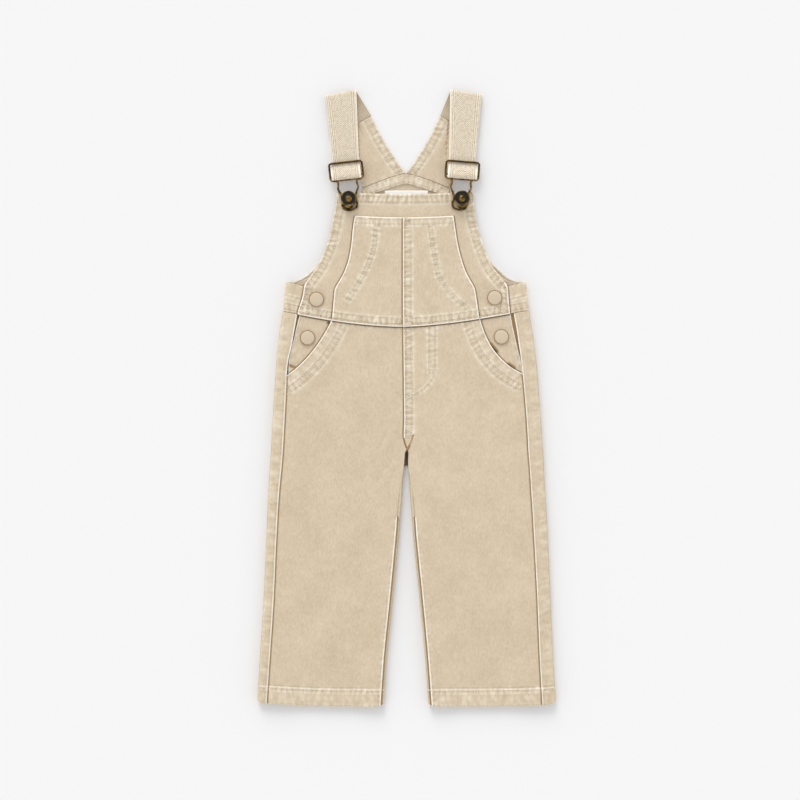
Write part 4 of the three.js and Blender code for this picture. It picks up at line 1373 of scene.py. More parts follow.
def webbing_stations(side):
    """Both edges of a strap: over the shoulder fold, down, and round the buckle's bar."""
    join_outer, join_inner = (np.array(p) for p in side.strap["join"])
    fold_outer, fold_inner = (np.array(p) for p in side.strap["fold"])
    across = fold_inner - fold_outer
    up = np.array([-across[1], across[0]]) / np.linalg.norm(across)
    up = up if up[1] > 0 else -up
    radius = (FRONT_WEBBING_Z - FLOOR_Z) / 2
    fold_outer, fold_inner = fold_outer - up * (radius + CLOTH / 2), fold_inner - up * (radius + CLOTH / 2)
    stations = []

    def add(outer, inner, z):
        stations.append((*outer, z, *inner, z))

    for t in np.linspace(0.0, 1.0, 8):
        add(mix(join_outer + up * GAP, fold_outer, t), mix(join_inner + up * GAP, fold_inner, t), FLOOR_Z)
    for angle in np.radians(np.linspace(-75, 75, 11)):
        reach = up * radius * math.cos(angle)
        add(fold_outer + reach, fold_inner + reach, FLOOR_Z + radius * (1 + math.sin(angle)))
    outer_u = side.out * WEBBING_HALF_WIDTH
    pinched_u = outer_u - side.out * side.strap["taper"]
    upper_outer = on_buckle(side, pinched_u, STRAIGHT_FROM_V)
    upper_inner = on_buckle(side, -outer_u, STRAIGHT_FROM_V)
    for t in np.linspace(0.0, 1.0, 12):
        add(mix(fold_outer, upper_outer, t), mix(fold_inner, upper_inner, t), FRONT_WEBBING_Z)

    wide_u = side.out * (WEBBING_HALF_WIDTH + SLIDER_SPREAD)

    def in_buckle(v, z, edge_u=wide_u):
        add(on_buckle(side, edge_u, v), on_buckle(side, -outer_u, v), z)

    in_buckle(TOP_BAR_V, FRONT_WEBBING_Z, pinched_u)
    for v, z in OVER_BAR:
        in_buckle(v, z)
    wrap = MIDDLE_BAR_RADIUS + GAP + CLOTH / 2
    for angle in np.radians(np.linspace(90, -90, 13)):
        in_buckle(MIDDLE_BAR_V - WRAP_NOSE * math.cos(angle), BUCKLE_Z + wrap * math.sin(angle))
    for v, z in BEHIND_BAR:
        in_buckle(v, z, pinched_u)
    in_buckle(WEBBING_TAIL, TAIL_Z, pinched_u - side.out * TAIL_NARROWING)
    return np.array(stations)


def resampled(stations, step):
    """Stations at even distances, with the corners eased."""
    middle = (stations[:, :3] + stations[:, 3:]) / 2
    runs = np.concatenate([[0.0], np.cumsum(np.linalg.norm(np.diff(middle, axis=0), axis=1))])
    even = np.linspace(0.0, runs[-1], int(runs[-1] / step))
    values = np.stack([np.interp(even, runs, stations[:, k]) for k in range(6)], -1)
    for _ in range(2):
        values[1:-1] = (values[:-2] + 2 * values[1:-1] + values[2:]) / 4
    return values, even


def webbing(side):
    """A strap of herringbone webbing with a ribbed border along both edges."""
    stations, runs = resampled(webbing_stations(side), 0.9)
    outer_edge, inner_edge = stations[:, :3], stations[:, 3:]
    middle = (outer_edge + inner_edge) / 2
    tangents = np.gradient(middle, axis=0)
    normals = np.cross(tangents, inner_edge - outer_edge)
    normals /= np.linalg.norm(normals, axis=1)[:, None]
    width = 2 * WEBBING_HALF_WIDTH
    across = rim_graded(width, 0.75)
    share = (across / width)[None, :, None]
    centre = mix(outer_edge[:, None, :], inner_edge[:, None, :], share)
    from_edge = np.minimum(across, width - across)
    ribs = RIB_HEIGHT * np.cos(2 * math.pi * from_edge / RIB_PITCH)
    ribs = ribs * (1 - smooth(from_edge, RIBS_END, RIBS_GONE))
    ends = np.minimum(runs, runs[-1] - runs)
    rim = np.minimum(from_edge[None, :], ends[:, None])
    waver = 0.05 * noise(runs[:, None] / 7, across[None, :] / 9, 31)
    off_floor = smooth(middle[:, 2], FLOOR_Z + 0.1, FLOOR_Z + 1.0)[:, None]
    woven = (ribs[None, :] + waver) * smooth(rim, 0.0, 0.7)
    thickness = CLOTH / 2 * rounding(rim) + woven * off_floor
    top = centre + normals[:, None, :] * thickness[..., None]
    under_thickness = CLOTH / 2 * rounding(rim) + 0.5 * woven * off_floor
    bottom = centre - normals[:, None, :] * under_thickness[..., None]
    shell = Shell()
    shell.wall(top, bottom, webbing_fields(runs, across, from_edge, middle[:, 2]))
    piece = shell.finish("webbing_strap_" + side.name, webbing_cloth())
    declare(piece, "webbing_" + side.name)


def webbing_fields(runs, across, from_edge, heights):
    """What the webbing's material reads: where it is in the slider, behind, across and along."""
    at_slider = np.abs(runs - runs[np.argmax(heights)])
    behind = 1 - smooth(heights, FLOOR_Z + 0.2, FRONT_WEBBING_Z - 0.4)
    rows = {
        "slider": 1 - smooth(at_slider, 7.0, 12.0),
        "behind": behind * (runs < runs[-1] / 2),
        "along": runs,
    }
    columns = {"across": across, "edge": from_edge}
    shape = (len(runs), len(across))
    fields = {name: np.broadcast_to(values[:, None], shape) for name, values in rows.items()}
    fields.update((name, np.broadcast_to(values[None, :], shape)) for name, values in columns.items())
    return fields


# Hardware

def tube(centres, lateral, radius, sides=14, closed=True):
    """Quads of a round wire along centres in a level plane."""
    angle = np.linspace(0.0, 2 * math.pi, sides, endpoint=False)
    ring = radius * np.cos(angle)[None, :, None] * lateral[:, None, :]
    ring = ring + radius * np.sin(angle)[None, :, None] * np.array([0.0, 0.0, 1.0])
    points = (centres[:, None, :] + ring).reshape(-1, 3)
    count = len(centres)
    index = np.arange(count * sides).reshape(count, sides)
    after = np.roll(index, -1, axis=0) if closed else index[1:]
    here = index if closed else index[:-1]
    return points, ring_quads(here, after)


def ring_quads(here, after):
    """Quads between each ring of vertices and the one after it."""
    corners = [here, np.roll(here, -1, 1), np.roll(after, -1, 1), after]
    return np.stack(corners, -1).reshape(-1, 4)


def wire_path():
    """The closed line of a buckle's wire, in its own plane."""
    half = np.stack([HALF_WIRE["u"], HALF_WIRE["v"]], -1)
    mirrored = half[-2:0:-1] * np.array([-1.0, 1.0])
    ring = np.vstack([half, mirrored])
    wrapped = np.vstack([ring[-3:], ring, ring[:4]])
    curve = rounded(wrapped, 460)
    start = np.argmin(np.linalg.norm(curve[:60] - ring[0], axis=1))
    end = len(curve) - 70 + np.argmin(np.linalg.norm(curve[-70:] - ring[0], axis=1))
    return curve[start:end]


def placed(side, local):
    """Points of a buckle's plane moved to where the buckle lies."""
    flat = np.stack([on_buckle(side, u, v) for u, v in local[:, :2]])
    return np.column_stack([flat, np.full(len(flat), BUCKLE_Z)])


def bar_points(side, half_width, v, radius):
    """A bar across the buckle, with its ends inside the frame's wire."""
    u = np.linspace(-half_width, half_width, 24)
    centres = placed(side, np.stack([u, np.full(24, v)], -1))
    turn = math.radians(side.strap["buckle"][2])
    lateral = np.tile([-math.sin(turn), math.cos(turn), 0.0], (24, 1))
    return tube(centres, lateral, radius, closed=False)


def buckle(side):
    """Wire frame and keyhole loop in one piece, with its two bars."""
    centres = placed(side, wire_path())
    tangents = np.roll(centres, -1, axis=0) - np.roll(centres, 1, axis=0)
    lateral = np.cross(tangents, [0.0, 0.0, 1.0])
    lateral /= np.linalg.norm(lateral, axis=1)[:, None]
    parts = [
        tube(centres, lateral, WIRE_RADIUS),
        bar_points(side, MIDDLE_BAR_HALF, MIDDLE_BAR_V, MIDDLE_BAR_RADIUS),
        bar_points(side, LOWER_BAR_HALF, LOWER_BAR_V, LOWER_BAR_RADIUS),
    ]
    points, faces = stacked(parts)
    piece = new_piece("buckle_wire_" + side.name, points, faces, antique_brass())
    height = on_buckle_height(side, points)
    add_field(piece, "dull", smooth(height, -7.0, 3.0))
    recalculate(piece)
    declare(piece, "buckle_" + side.name)


def on_buckle_height(side, points):
    """How far up the buckle's own plane each point lies."""
    x, y, turn = side.strap["buckle"]
    turn = math.radians(turn)
    return (points[:, 1] - y) * math.cos(turn) - (points[:, 0] - x) * math.sin(turn)


def stacked(parts):
    """Several sets of points and quads as one."""
    points, faces, count = [], [], 0
    for part_points, part_faces in parts:
        points.append(part_points)
        faces.append(part_faces + count)
        count += len(part_points)
    return np.vstack(points), np.vstack(faces)


def recalculate(piece):
    """Turns every face outwards and closes open ends."""
    mesh = bmesh.new()
    mesh.from_mesh(piece.data)
    open_edges = [edge for edge in mesh.edges if edge.is_boundary]
    if open_edges:
        bmesh.ops.holes_fill(mesh, edges=open_edges)
    bmesh.ops.remove_doubles(mesh, verts=mesh.verts, dist=1e-7)
    bmesh.ops.recalc_face_normals(mesh, faces=mesh.faces)
    mesh.to_mesh(piece.data)
    mesh.free()
    piece.data.shade_smooth()


def turned(profile, segments=72):
    """Points and quads of a profile of radius and height turned about +Z."""
    profile = np.array(profile, float)
    angle = np.linspace(0.0, 2 * math.pi, segments, endpoint=False)
    x = profile[:, :1] * np.cos(angle)
    y = profile[:, :1] * np.sin(angle)
    z = np.repeat(profile[:, 1:], segments, axis=1)
    points = np.stack([x, y, z], -1).reshape(-1, 3)
    index = np.arange(len(points)).reshape(len(profile), segments)
    return points, ring_quads(index[:-1], index[1:])


BUTTON_PROFILE = (
    (0.001, 0.0), (3.0, 0.0), (3.0, 3.4), (6.2, 3.5), (7.1, 3.9), (7.4, 4.5),
    (7.4, 5.1), (7.3, 5.6), (7.05, 5.9), (6.75, 5.9), (6.5, 5.6), (6.25, 5.25),
    (5.8, 5.0), (4.5, 5.0), (4.1, 5.15), (3.95, 5.5), (3.75, 5.7), (3.5, 5.7), (3.3, 5.5),
    (3.1, 5.3), (2.6, 5.2), (2.2, 5.25), (1.95, 5.45), (1.8, 5.7), (1.4, 5.95), (0.8, 6.05),
    (0.35, 6.0), (0.001, 5.95),
)
COLLAR_PROFILE = ((0.001, -0.9), (6.2, -0.9), (6.7, -0.5), (6.7, 0.1), (6.3, 0.5), (0.001, 0.5))
BASE_PROFILE = ((0.001, -0.55), (4.6, -0.55), (5.0, -0.2), (4.9, 0.2), (4.3, 0.4), (0.001, 0.45))
BEAD_RING = (5.15, 0.34, 26)  # radius of the ring of beads, of a bead, and how many
SNAP_PROFILE = (
    (0.001, 0.0), (6.6, 0.0), (7.1, 0.35), (7.25, 0.9), (7.2, 1.4), (7.0, 1.65),
    (6.72, 1.55), (6.55, 1.4), (6.35, 1.5), (6.1, 1.66), (5.4, 1.82), (4.4, 1.97),
    (3.0, 2.08), (1.5, 2.14), (0.001, 2.15),
)


def tack_button(side):
    """Hollow-rimmed tack button with a dark ring round its centre."""
    points, faces = stacked([turned(BUTTON_PROFILE), *beads(), *below_cap()])
    tilt = math.radians(BUTTON_TILT)
    y = points[:, 1] * math.cos(tilt) - points[:, 2] * math.sin(tilt)
    z = points[:, 1] * math.sin(tilt) + points[:, 2] * math.cos(tilt)
    x0, y0 = side.strap["button"]
    seat = front_top(np.array(x0), np.array(y0)) + SEAM_RELIEF / 2 + 2 * GAP
    radius = np.hypot(points[:, 0], points[:, 1])
    shift_x, shift_y = BUTTON_SHIFT
    moved = np.stack([points[:, 0] + x0 + shift_x, y + y0 + shift_y, z + seat], -1)
    piece = new_piece("tack_button_cap_" + side.name, moved, faces, antique_brass())
    trough = smooth(radius, 2.9, 3.4) * (1 - smooth(radius, 6.4, 6.8))
    trough = trough * (1 - 0.55 * smooth(points[:, 2], 5.1, 5.35) * smooth(radius, 4.3, 4.7))
    # Painted shade on the collar and foot that lie under the tilted cap; the trough is the patina of the
    # hollow ring
    low = 1 - smooth(points[:, 2], 0.6, 1.6)
    add_field(piece, "recess", np.maximum(trough, 0.75 * low))
    recalculate(piece)
    declare(piece, "tack_button_" + side.name)


def beads():
    """Small beads round the button's face."""
    ring_radius, size, count = BEAD_RING
    dome = [(0.001, 5.35), (size * 0.7, 5.25), (size, 4.9)]
    for angle in np.linspace(0.0, 2 * math.pi, count, endpoint=False):
        points, faces = turned(dome[::-1], 8)
        yield points + np.array([ring_radius * math.cos(angle), ring_radius * math.sin(angle), 0.0]), faces


def below_cap():
    """The collar and foot that show under the tilted cap, below it."""
    for profile, drop, height in ((COLLAR_PROFILE, 1.7, 2.6), (BASE_PROFILE, 4.4, 0.4)):
        points, faces = turned(profile)
        yield points + np.array([0.0, -drop, height]), faces


def snap(name):
    """Enamelled snap cap with a rolled rim."""
    x, y, layer = SNAPS[name]
    here = np.array(x), np.array(y)
    seat = (front_top(*here) if layer == "front" else under_front(*here) + CLOTH) - SNAP_SINK
    points, faces = turned(SNAP_PROFILE)
    radius = np.hypot(points[:, 0], points[:, 1])
    piece = new_piece(name + "_cap", points + np.array([x, y, seat]), faces, enamel())
    # Where shade is painted into the cap's colour: round its outer rim and at its foot
    add_field(piece, "groove", smooth(radius, 6.2, 6.6))
    add_field(piece, "foot", 1 - smooth(points[:, 2], 0.2, 1.0))
    recalculate(piece)
    declare(piece, name)


def label():
    """Plain white woven label, tucked behind the bib."""
    heights = LABEL_BOTTOM + rim_graded(LABEL_TOP - LABEL_BOTTOM, 0.8)
    start = np.full(len(heights), LABEL_LEFT)
    x = columns_between(start, start + LABEL_RIGHT - LABEL_LEFT, 0.8)
    border = Path([(LABEL_LEFT, LABEL_TOP), (LABEL_RIGHT, LABEL_TOP)])
    sewing = Sewing(turned=[border], seed=27)
    layout = (lambda u, v: v + 0 * u, heights, x, on_back)
    panel("woven_label", "label", layout, sewing, None, 0.25, label_weave)


# Stitches

def thread_paths():
    """Every row of topstitching, with the piece that it lies on."""
    rows = []

    def single(owner, path):
        rows.append((owner, path.points))

    def double(owner, path):
        single(owner, path.shifted(TRACK_GAP))
        single(owner, path.shifted(-TRACK_GAP))

    for side in SIDES:
        leg = "twill_front_leg_" + side.name
        for depth in (POCKET_TRACK - TRACK_GAP, POCKET_TRACK + TRACK_GAP):
            single(leg, inside_body(mouth_path(side, depth), side))
        hem_ends = sorted((side.inner(HEM_Y) + side.out * 4, side.seam(HEM_Y) - side.out))
        single(leg, along_x(lambda u: hem_y(u, HEM_DEPTH), *hem_ends))
        single("twill_back_leg_" + side.name, hem_on_strip(side))
        for depth in (TRACK_INSET - TRACK_GAP, TRACK_INSET + TRACK_GAP):
            single("twill_bib", bib_edge(side).shifted(side.out * depth).cut(2, -2))
        pocket = "twill_bib_pocket_" + side.name
        facing = Path(rounded(POCKET_FACING_LINES[side.name]))
        single(pocket, facing)
        single(pocket, facing.shifted(side.out * 2.6))
        yoke = "twill_yoke_" + side.name
        inner = Path(yoke_edge(side, True)).cut(2, -1)
        single(yoke, inner.shifted(side.out * -(TRACK_INSET - TRACK_GAP)))
        single(yoke, inner.shifted(side.out * -(TRACK_INSET + TRACK_GAP)))
    double("twill_front_leg_right", CENTRE_FRONT.shifted(-TRACK_INSET).cut(1, -1))
    for path in fly_lines():
        single("twill_front_leg_right", path)
    double("twill_bib_pocket_right", BIB_CENTRE.shifted(-TRACK_INSET).cut(1, -1))
    double("twill_bib", BIB_TOP.shifted(-TRACK_INSET - 0.5).cut(2, -2))
    for owner, x, y, angle in BARTACKS:
        for offset in np.linspace(-0.9, 0.9, 4):
            rows.append((owner, bartack_row(x, y, math.radians(angle), offset)))
    upper = along_x(arch_y, -39.0, 38.0, 2.0)
    lower = along_x(lambda u: arch_y(u) - ARCH_BAND, -36.0, 35.0, 2.0)
    for path in (upper, lower):
        inward = -1.6 if path.points[1, 1] > ARCH_Y - ARCH_BAND - 6 else 1.6
        single("twill_neck_band", path.shifted(inward))
    return rows


def bartack_row(x, y, angle, offset):
    """One of the rows that make a bartack."""
    along = np.array([math.cos(angle), math.sin(angle)])
    across = np.array([-along[1], along[0]])
    return np.array([x, y]) + offset * across + np.outer([-3.6, 3.6], along)


# Piece, place and angle of the bartacks
BARTACKS = (
    ("twill_front_leg_right", 24.0, 25.6, 0.0),
    ("twill_front_leg_right", 3.2, 5.2, 68.0),
    ("twill_bib_pocket_right", -0.2, 171.0, 0.0),
    ("twill_bib_pocket_right", -0.2, 71.5, 0.0),
)


def hem_on_strip(side):
    x = np.linspace(side.seam(HEM_Y) + side.out, side.outer(HEM_Y) - side.out * 2.5, 6)
    return Path(np.stack([x, hem_y(x, HEM_DEPTH)], -1))


def waist_rows():
    """Topstitching above the waist seam, on the bib and on its pocket."""
    rows = []
    for offset in (TRACK_INSET - TRACK_GAP, TRACK_INSET + TRACK_GAP):
        line = WAIST.shifted(offset).points
        left = line[line[:, 0] < LEFT.bib_pocket(90.0) - 1.5]
        right = line[line[:, 0] > RIGHT.bib_pocket(90.0) + 1.5]
        rows += [("twill_bib", left), ("twill_bib", right)]
        inside = (line[:, 0] > LEFT.bib_pocket(90.0) + 1) & (line[:, 0] < RIGHT.bib_pocket(90.0) - 1)
        middle = line[inside]
        rows.append(("twill_bib_pocket_left", middle[middle[:, 0] < BIB_POCKET_SEAM_X - 0.8]))
        rows.append(("twill_bib_pocket_right", middle[middle[:, 0] > BIB_POCKET_SEAM_X + 0.8]))
    hem = BIB_POCKET_TOP.shifted(-BIB_POCKET_HEM).points
    rows.append(("twill_bib_pocket_left", hem[hem[:, 0] < BIB_POCKET_SEAM_X - 1]))
    rows.append(("twill_bib_pocket_right", hem[hem[:, 0] > BIB_POCKET_SEAM_X + 1]))
    return rows


def on_surface(piece, points, lift):
    """The points of a path dropped onto a piece, in metres."""
    tree = BVHTree.FromObject(piece, bpy.context.evaluated_depsgraph_get())
    dense = Path(points)
    steps = max(2, int(dense.length() / 1.4))
    runs = np.concatenate([[0.0], np.cumsum(np.linalg.norm(dense.steps(), axis=1))])
    wanted = np.linspace(0.0, runs[-1], steps)
    x = (np.interp(wanted, runs, dense.points[:, 0]) + CENTRING[0]) * 0.001
    y = (np.interp(wanted, runs, dense.points[:, 1]) + CENTRING[1]) * 0.001
    found = []
    for px, py in zip(x, y):
        hit = tree.ray_cast(Vector((px, py, 0.05)), Vector((0, 0, -1)))[0]
        if hit is not None:
            found.append((px, py, hit.z + lift * 0.001))
    return found


def polyline(name, rows):
    """One mesh of edges that holds several open lines."""
    points, edges = [], []
    for row in rows:
        first = len(points)
        points += row
        edges += [(first + k, first + k + 1) for k in range(len(row) - 1)]
    mesh = bpy.data.meshes.new(name)
    mesh.from_pydata(points, edges, [])
    piece = bpy.data.objects.new(name, mesh)
    bpy.context.scene.collection.objects.link(piece)
    return piece


def stitching():
    """Lays every row of topstitching on the finished cloth."""
    rows = []
    for owner, points in thread_paths() + waist_rows():
        if len(points) < 2:
            continue
        laid = on_surface(bpy.data.objects[owner], points, 0.06)
        if len(laid) > 1:
            rows.append(laid)
    guide = polyline("stitch_guide", rows)
    values = settings()
    repeat_along(
        guide,
        "topstitching",
        {
            "Pitch": values.stitch_pitch * 0.001,
            "Length": values.stitch_length * 0.001,
            "Width": values.stitch_width * 0.001,
            "Hole": values.hole_width * 0.001,
            "Seed": values.seed,
        },
    )


STITCH_SWAY = 0.12  # radians to either side
STITCH_FLATNESS, HOLE_FLATNESS = 0.7, 0.4


def stitch_tree():
    """Node tree that sets small rounded stitches along lines, with a needle hole between each two."""
    tree = bpy.data.node_groups.new("stitches_along_lines", "GeometryNodeTree")
    face = tree.interface
    face.new_socket("Geometry", in_out="INPUT", socket_type="NodeSocketGeometry")
    for name in ("Pitch", "Length", "Width", "Hole"):
        face.new_socket(name, in_out="INPUT", socket_type="NodeSocketFloat")
    face.new_socket("Seed", in_out="INPUT", socket_type="NodeSocketInt")
    face.new_socket("Geometry", in_out="OUTPUT", socket_type="NodeSocketGeometry")

    def node(kind, settings_=None, inputs=None):
        made = tree.nodes.new(kind)
        for name, value in (settings_ or {}).items():
            setattr(made, name, value)
        for place, value in (inputs or {}).items():
            if isinstance(value, bpy.types.NodeSocket):
                tree.links.new(value, made.inputs[place])
            else:
                made.inputs[place].default_value = value
        return made.outputs

    def times(socket, factor):
        return node("ShaderNodeMath", {"operation": "MULTIPLY"}, {0: socket, 1: factor})[0]

    def evenly(line):
        inputs = {"Curve": line, "Length": source["Pitch"]}
        return node("GeometryNodeResampleCurve", {"mode": "LENGTH"}, inputs)[0]

    def sized(mesh, x, y, z):
        size = node("ShaderNodeCombineXYZ", None, {"X": x, "Y": y, "Z": z})
        return node("GeometryNodeTransform", None, {"Geometry": mesh, "Scale": size[0]})[0]

    def set_out(points, shape, material, turn=None):
        inputs = {"Points": points, "Instance": shape}
        if turn:
            inputs["Rotation"] = turn
        spread = node("GeometryNodeInstanceOnPoints", None, inputs)
        real = node("GeometryNodeRealizeInstances", None, {"Geometry": spread[0]})
        return node("GeometryNodeSetMaterial", None, {"Geometry": real[0], "Material": material})[0]

    source = tree.nodes.new("NodeGroupInput").outputs
    line = node("GeometryNodeMeshToCurve", None, {"Mesh": source["Geometry"]})[0]
    facing = node(
        "FunctionNodeAlignRotationToVector", {"axis": "X"}, {"Vector": node("GeometryNodeInputTangent")[0]}
    )
    sway = node(
        "FunctionNodeRandomValue",
        {"data_type": "FLOAT"},
        {2: -STITCH_SWAY, 3: STITCH_SWAY, "Seed": source["Seed"]},
    )
    yaw = node("ShaderNodeCombineXYZ", None, {"Z": sway[1]})
    turn = node("FunctionNodeRotateRotation", {"rotation_space": "LOCAL"}, {0: facing[0], 1: yaw[0]})
    bead = node("GeometryNodeMeshUVSphere", None, {"Segments": 6, "Rings": 4, "Radius": 0.5})["Mesh"]
    stitch = sized(bead, source["Length"], source["Width"], times(source["Width"], STITCH_FLATNESS))
    threads = set_out(evenly(line), stitch, thread(), turn[0])
    half_pitch = times(source["Pitch"], 0.5)
    later = node("GeometryNodeTrimCurve", {"mode": "LENGTH"}, {"Curve": line, 4: half_pitch, 5: 10.0})[0]
    dot = node("GeometryNodeMeshIcoSphere", None, {"Radius": 0.5, "Subdivisions": 1})["Mesh"]
    hole = sized(dot, source["Hole"], source["Hole"], times(source["Hole"], HOLE_FLATNESS))
    holes = set_out(evenly(later), hole, needle_hole())
    joined = tree.nodes.new("GeometryNodeJoinGeometry")
    for part in (holes, threads):
        tree.links.new(part, joined.inputs[0])
    soft = node("GeometryNodeSetShadeSmooth", None, {"Geometry": joined.outputs[0]})
    sink = tree.nodes.new("NodeGroupOutput")
    tree.links.new(soft[0], sink.inputs[0])
    return tree


def repeat_along(guide, name, inputs):
    """Runs the stitch tree on guide lines and keeps the result as a plain mesh."""
    tree = bpy.data.node_groups.get("stitches_along_lines") or stitch_tree()
    modifier = guide.modifiers.new("stitches", "NODES")
    modifier.node_group = tree
    for socket in tree.interface.items_tree:
        if socket.in_out == "INPUT" and socket.name in inputs:
            modifier[socket.identifier] = inputs[socket.name]
    graph = bpy.context.evaluated_depsgraph_get()
    mesh = bpy.data.meshes.new_from_object(guide.evaluated_get(graph), depsgraph=graph)
    mesh.name = name
    guide.modifiers.remove(modifier)
    bpy.data.objects.remove(guide)
    piece = bpy.data.objects.new(name, mesh)
    bpy.context.scene.collection.objects.link(piece)
    declare(piece, None)


# Colours that aren't settings

EMBER = (0.56, 0.36, 0.17)  # sand cloth by light that has bounced off more of it
GAP_SHADE_BROWN = (0.085, 0.038, 0.007)  # painted shade inside a gap


# Shader arithmetic

class Value:
    """A node's output that takes part in sums."""

    def __init__(self, tree, socket):
        self.tree = tree
        self.socket = socket

    def math(self, operation, *others):
        places = {k: v for k, v in enumerate((self, *others))}
        return self.tree.node("ShaderNodeMath", {"operation": operation}, places)

    def __add__(self, other):
        return self.math("ADD", other)

    def __sub__(self, other):
        return self.math("SUBTRACT", other)

    def __mul__(self, other):
        return self.math("MULTIPLY", other)

    def __truediv__(self, other):
        return self.math("DIVIDE", other)

    def __neg__(self):
        return self * -1.0

    def __rsub__(self, other):
        return (self * -1.0) + other

    def __rtruediv__(self, other):
        return self.tree.node("ShaderNodeMath", {"operation": "DIVIDE"}, {0: other, 1: self})

    __radd__ = __add__
    __rmul__ = __mul__

    def clamped(self):
        return self.math("MAXIMUM", 0.0).math("MINIMUM", 1.0)

    def fading(self, full, none):
        """1 up to one value, falling to 0 at a higher one."""
        return ((none - self) / (none - full)).clamped()

    def bell(self, centre, width):
        """1 where the value is centre, falling to 0 a width away."""
        away = (self - centre).math("ABSOLUTE") / width
        return (1.0 - away * away).math("MAXIMUM", 0.0)


class Shader:
    """The nodes of one material, with its main surface shader."""

    def __init__(self, name, **surface):
        self.material = bpy.data.materials.new(name)
        self.material.use_nodes = True
        self.nodes = self.material.node_tree.nodes
        self.links = self.material.node_tree.links
        self.surface = self.nodes["Principled BSDF"]
        for socket, value in surface.items():
            self.surface.inputs[socket.replace("_", " ")].default_value = value

    def node(self, kind, settings_=None, inputs=None, output=0):
        """Any node: its settings first, then the values or links of its sockets."""
        made = self.nodes.new(kind)
        for name, value in (settings_ or {}).items():
            setattr(made, name, value)
        for place, value in (inputs or {}).items():
            if isinstance(value, Value):
                self.links.new(value.socket, made.inputs[place])
            else:
                made.inputs[place].default_value = value
        return Value(self, made.outputs[output])

    def field(self, name):
        return self.node("ShaderNodeAttribute", {"attribute_name": name}, output="Fac")

    def place(self, scale):
        """Object coordinates times a scale for each axis."""
        spot = self.node("ShaderNodeTexCoord", output="Object")
        return self.node("ShaderNodeMapping", inputs={"Vector": spot, "Scale": scale})

    def speckle(self, scale, detail=2.0, seed=0.0):
        """Noise between 0 and 1 with cells of 1 / scale metres."""
        where = self.place((scale, scale, scale) if np.isscalar(scale) else scale)
        shifted = self.node(
            "ShaderNodeVectorMath", {"operation": "ADD"}, {0: where, 1: (seed, seed * 1.7, seed * 0.6)}
        )
        return self.node("ShaderNodeTexNoise", inputs={"Vector": shifted, "Scale": 1.0, "Detail": detail})

    def blend(self, share, first, second):
        """Colour from first to second."""
        settings_ = {"data_type": "RGBA", "clamp_factor": True}
        return self.node("ShaderNodeMix", settings_, {0: share, 6: first, 7: second}, output=2)

    def drive(self, socket, value):
        self.links.new(value.socket, self.surface.inputs[socket])

    def bump(self, height, distance):
        """Normal from a height in millimetres times distance."""
        normal = self.node(
            "ShaderNodeBump", inputs={"Height": height, "Distance": distance * 0.001, "Strength": 1.0}
        )
        self.drive("Normal", normal)


def made_once(build):
    """Keeps a material so that pieces share it."""
    kept = {}

    def get():
        if build.__name__ not in kept:
            kept[build.__name__] = build()
        return kept[build.__name__]

    return get


def opaque(colour):
    return (*colour, 1.0)


def toned(colour, share):
    """Opaque colour times a share, or times one share for each channel."""
    shares = (share,) * 3 if np.isscalar(share) else share
    return opaque([min(1.0, c * k) for c, k in zip(colour, shares)])


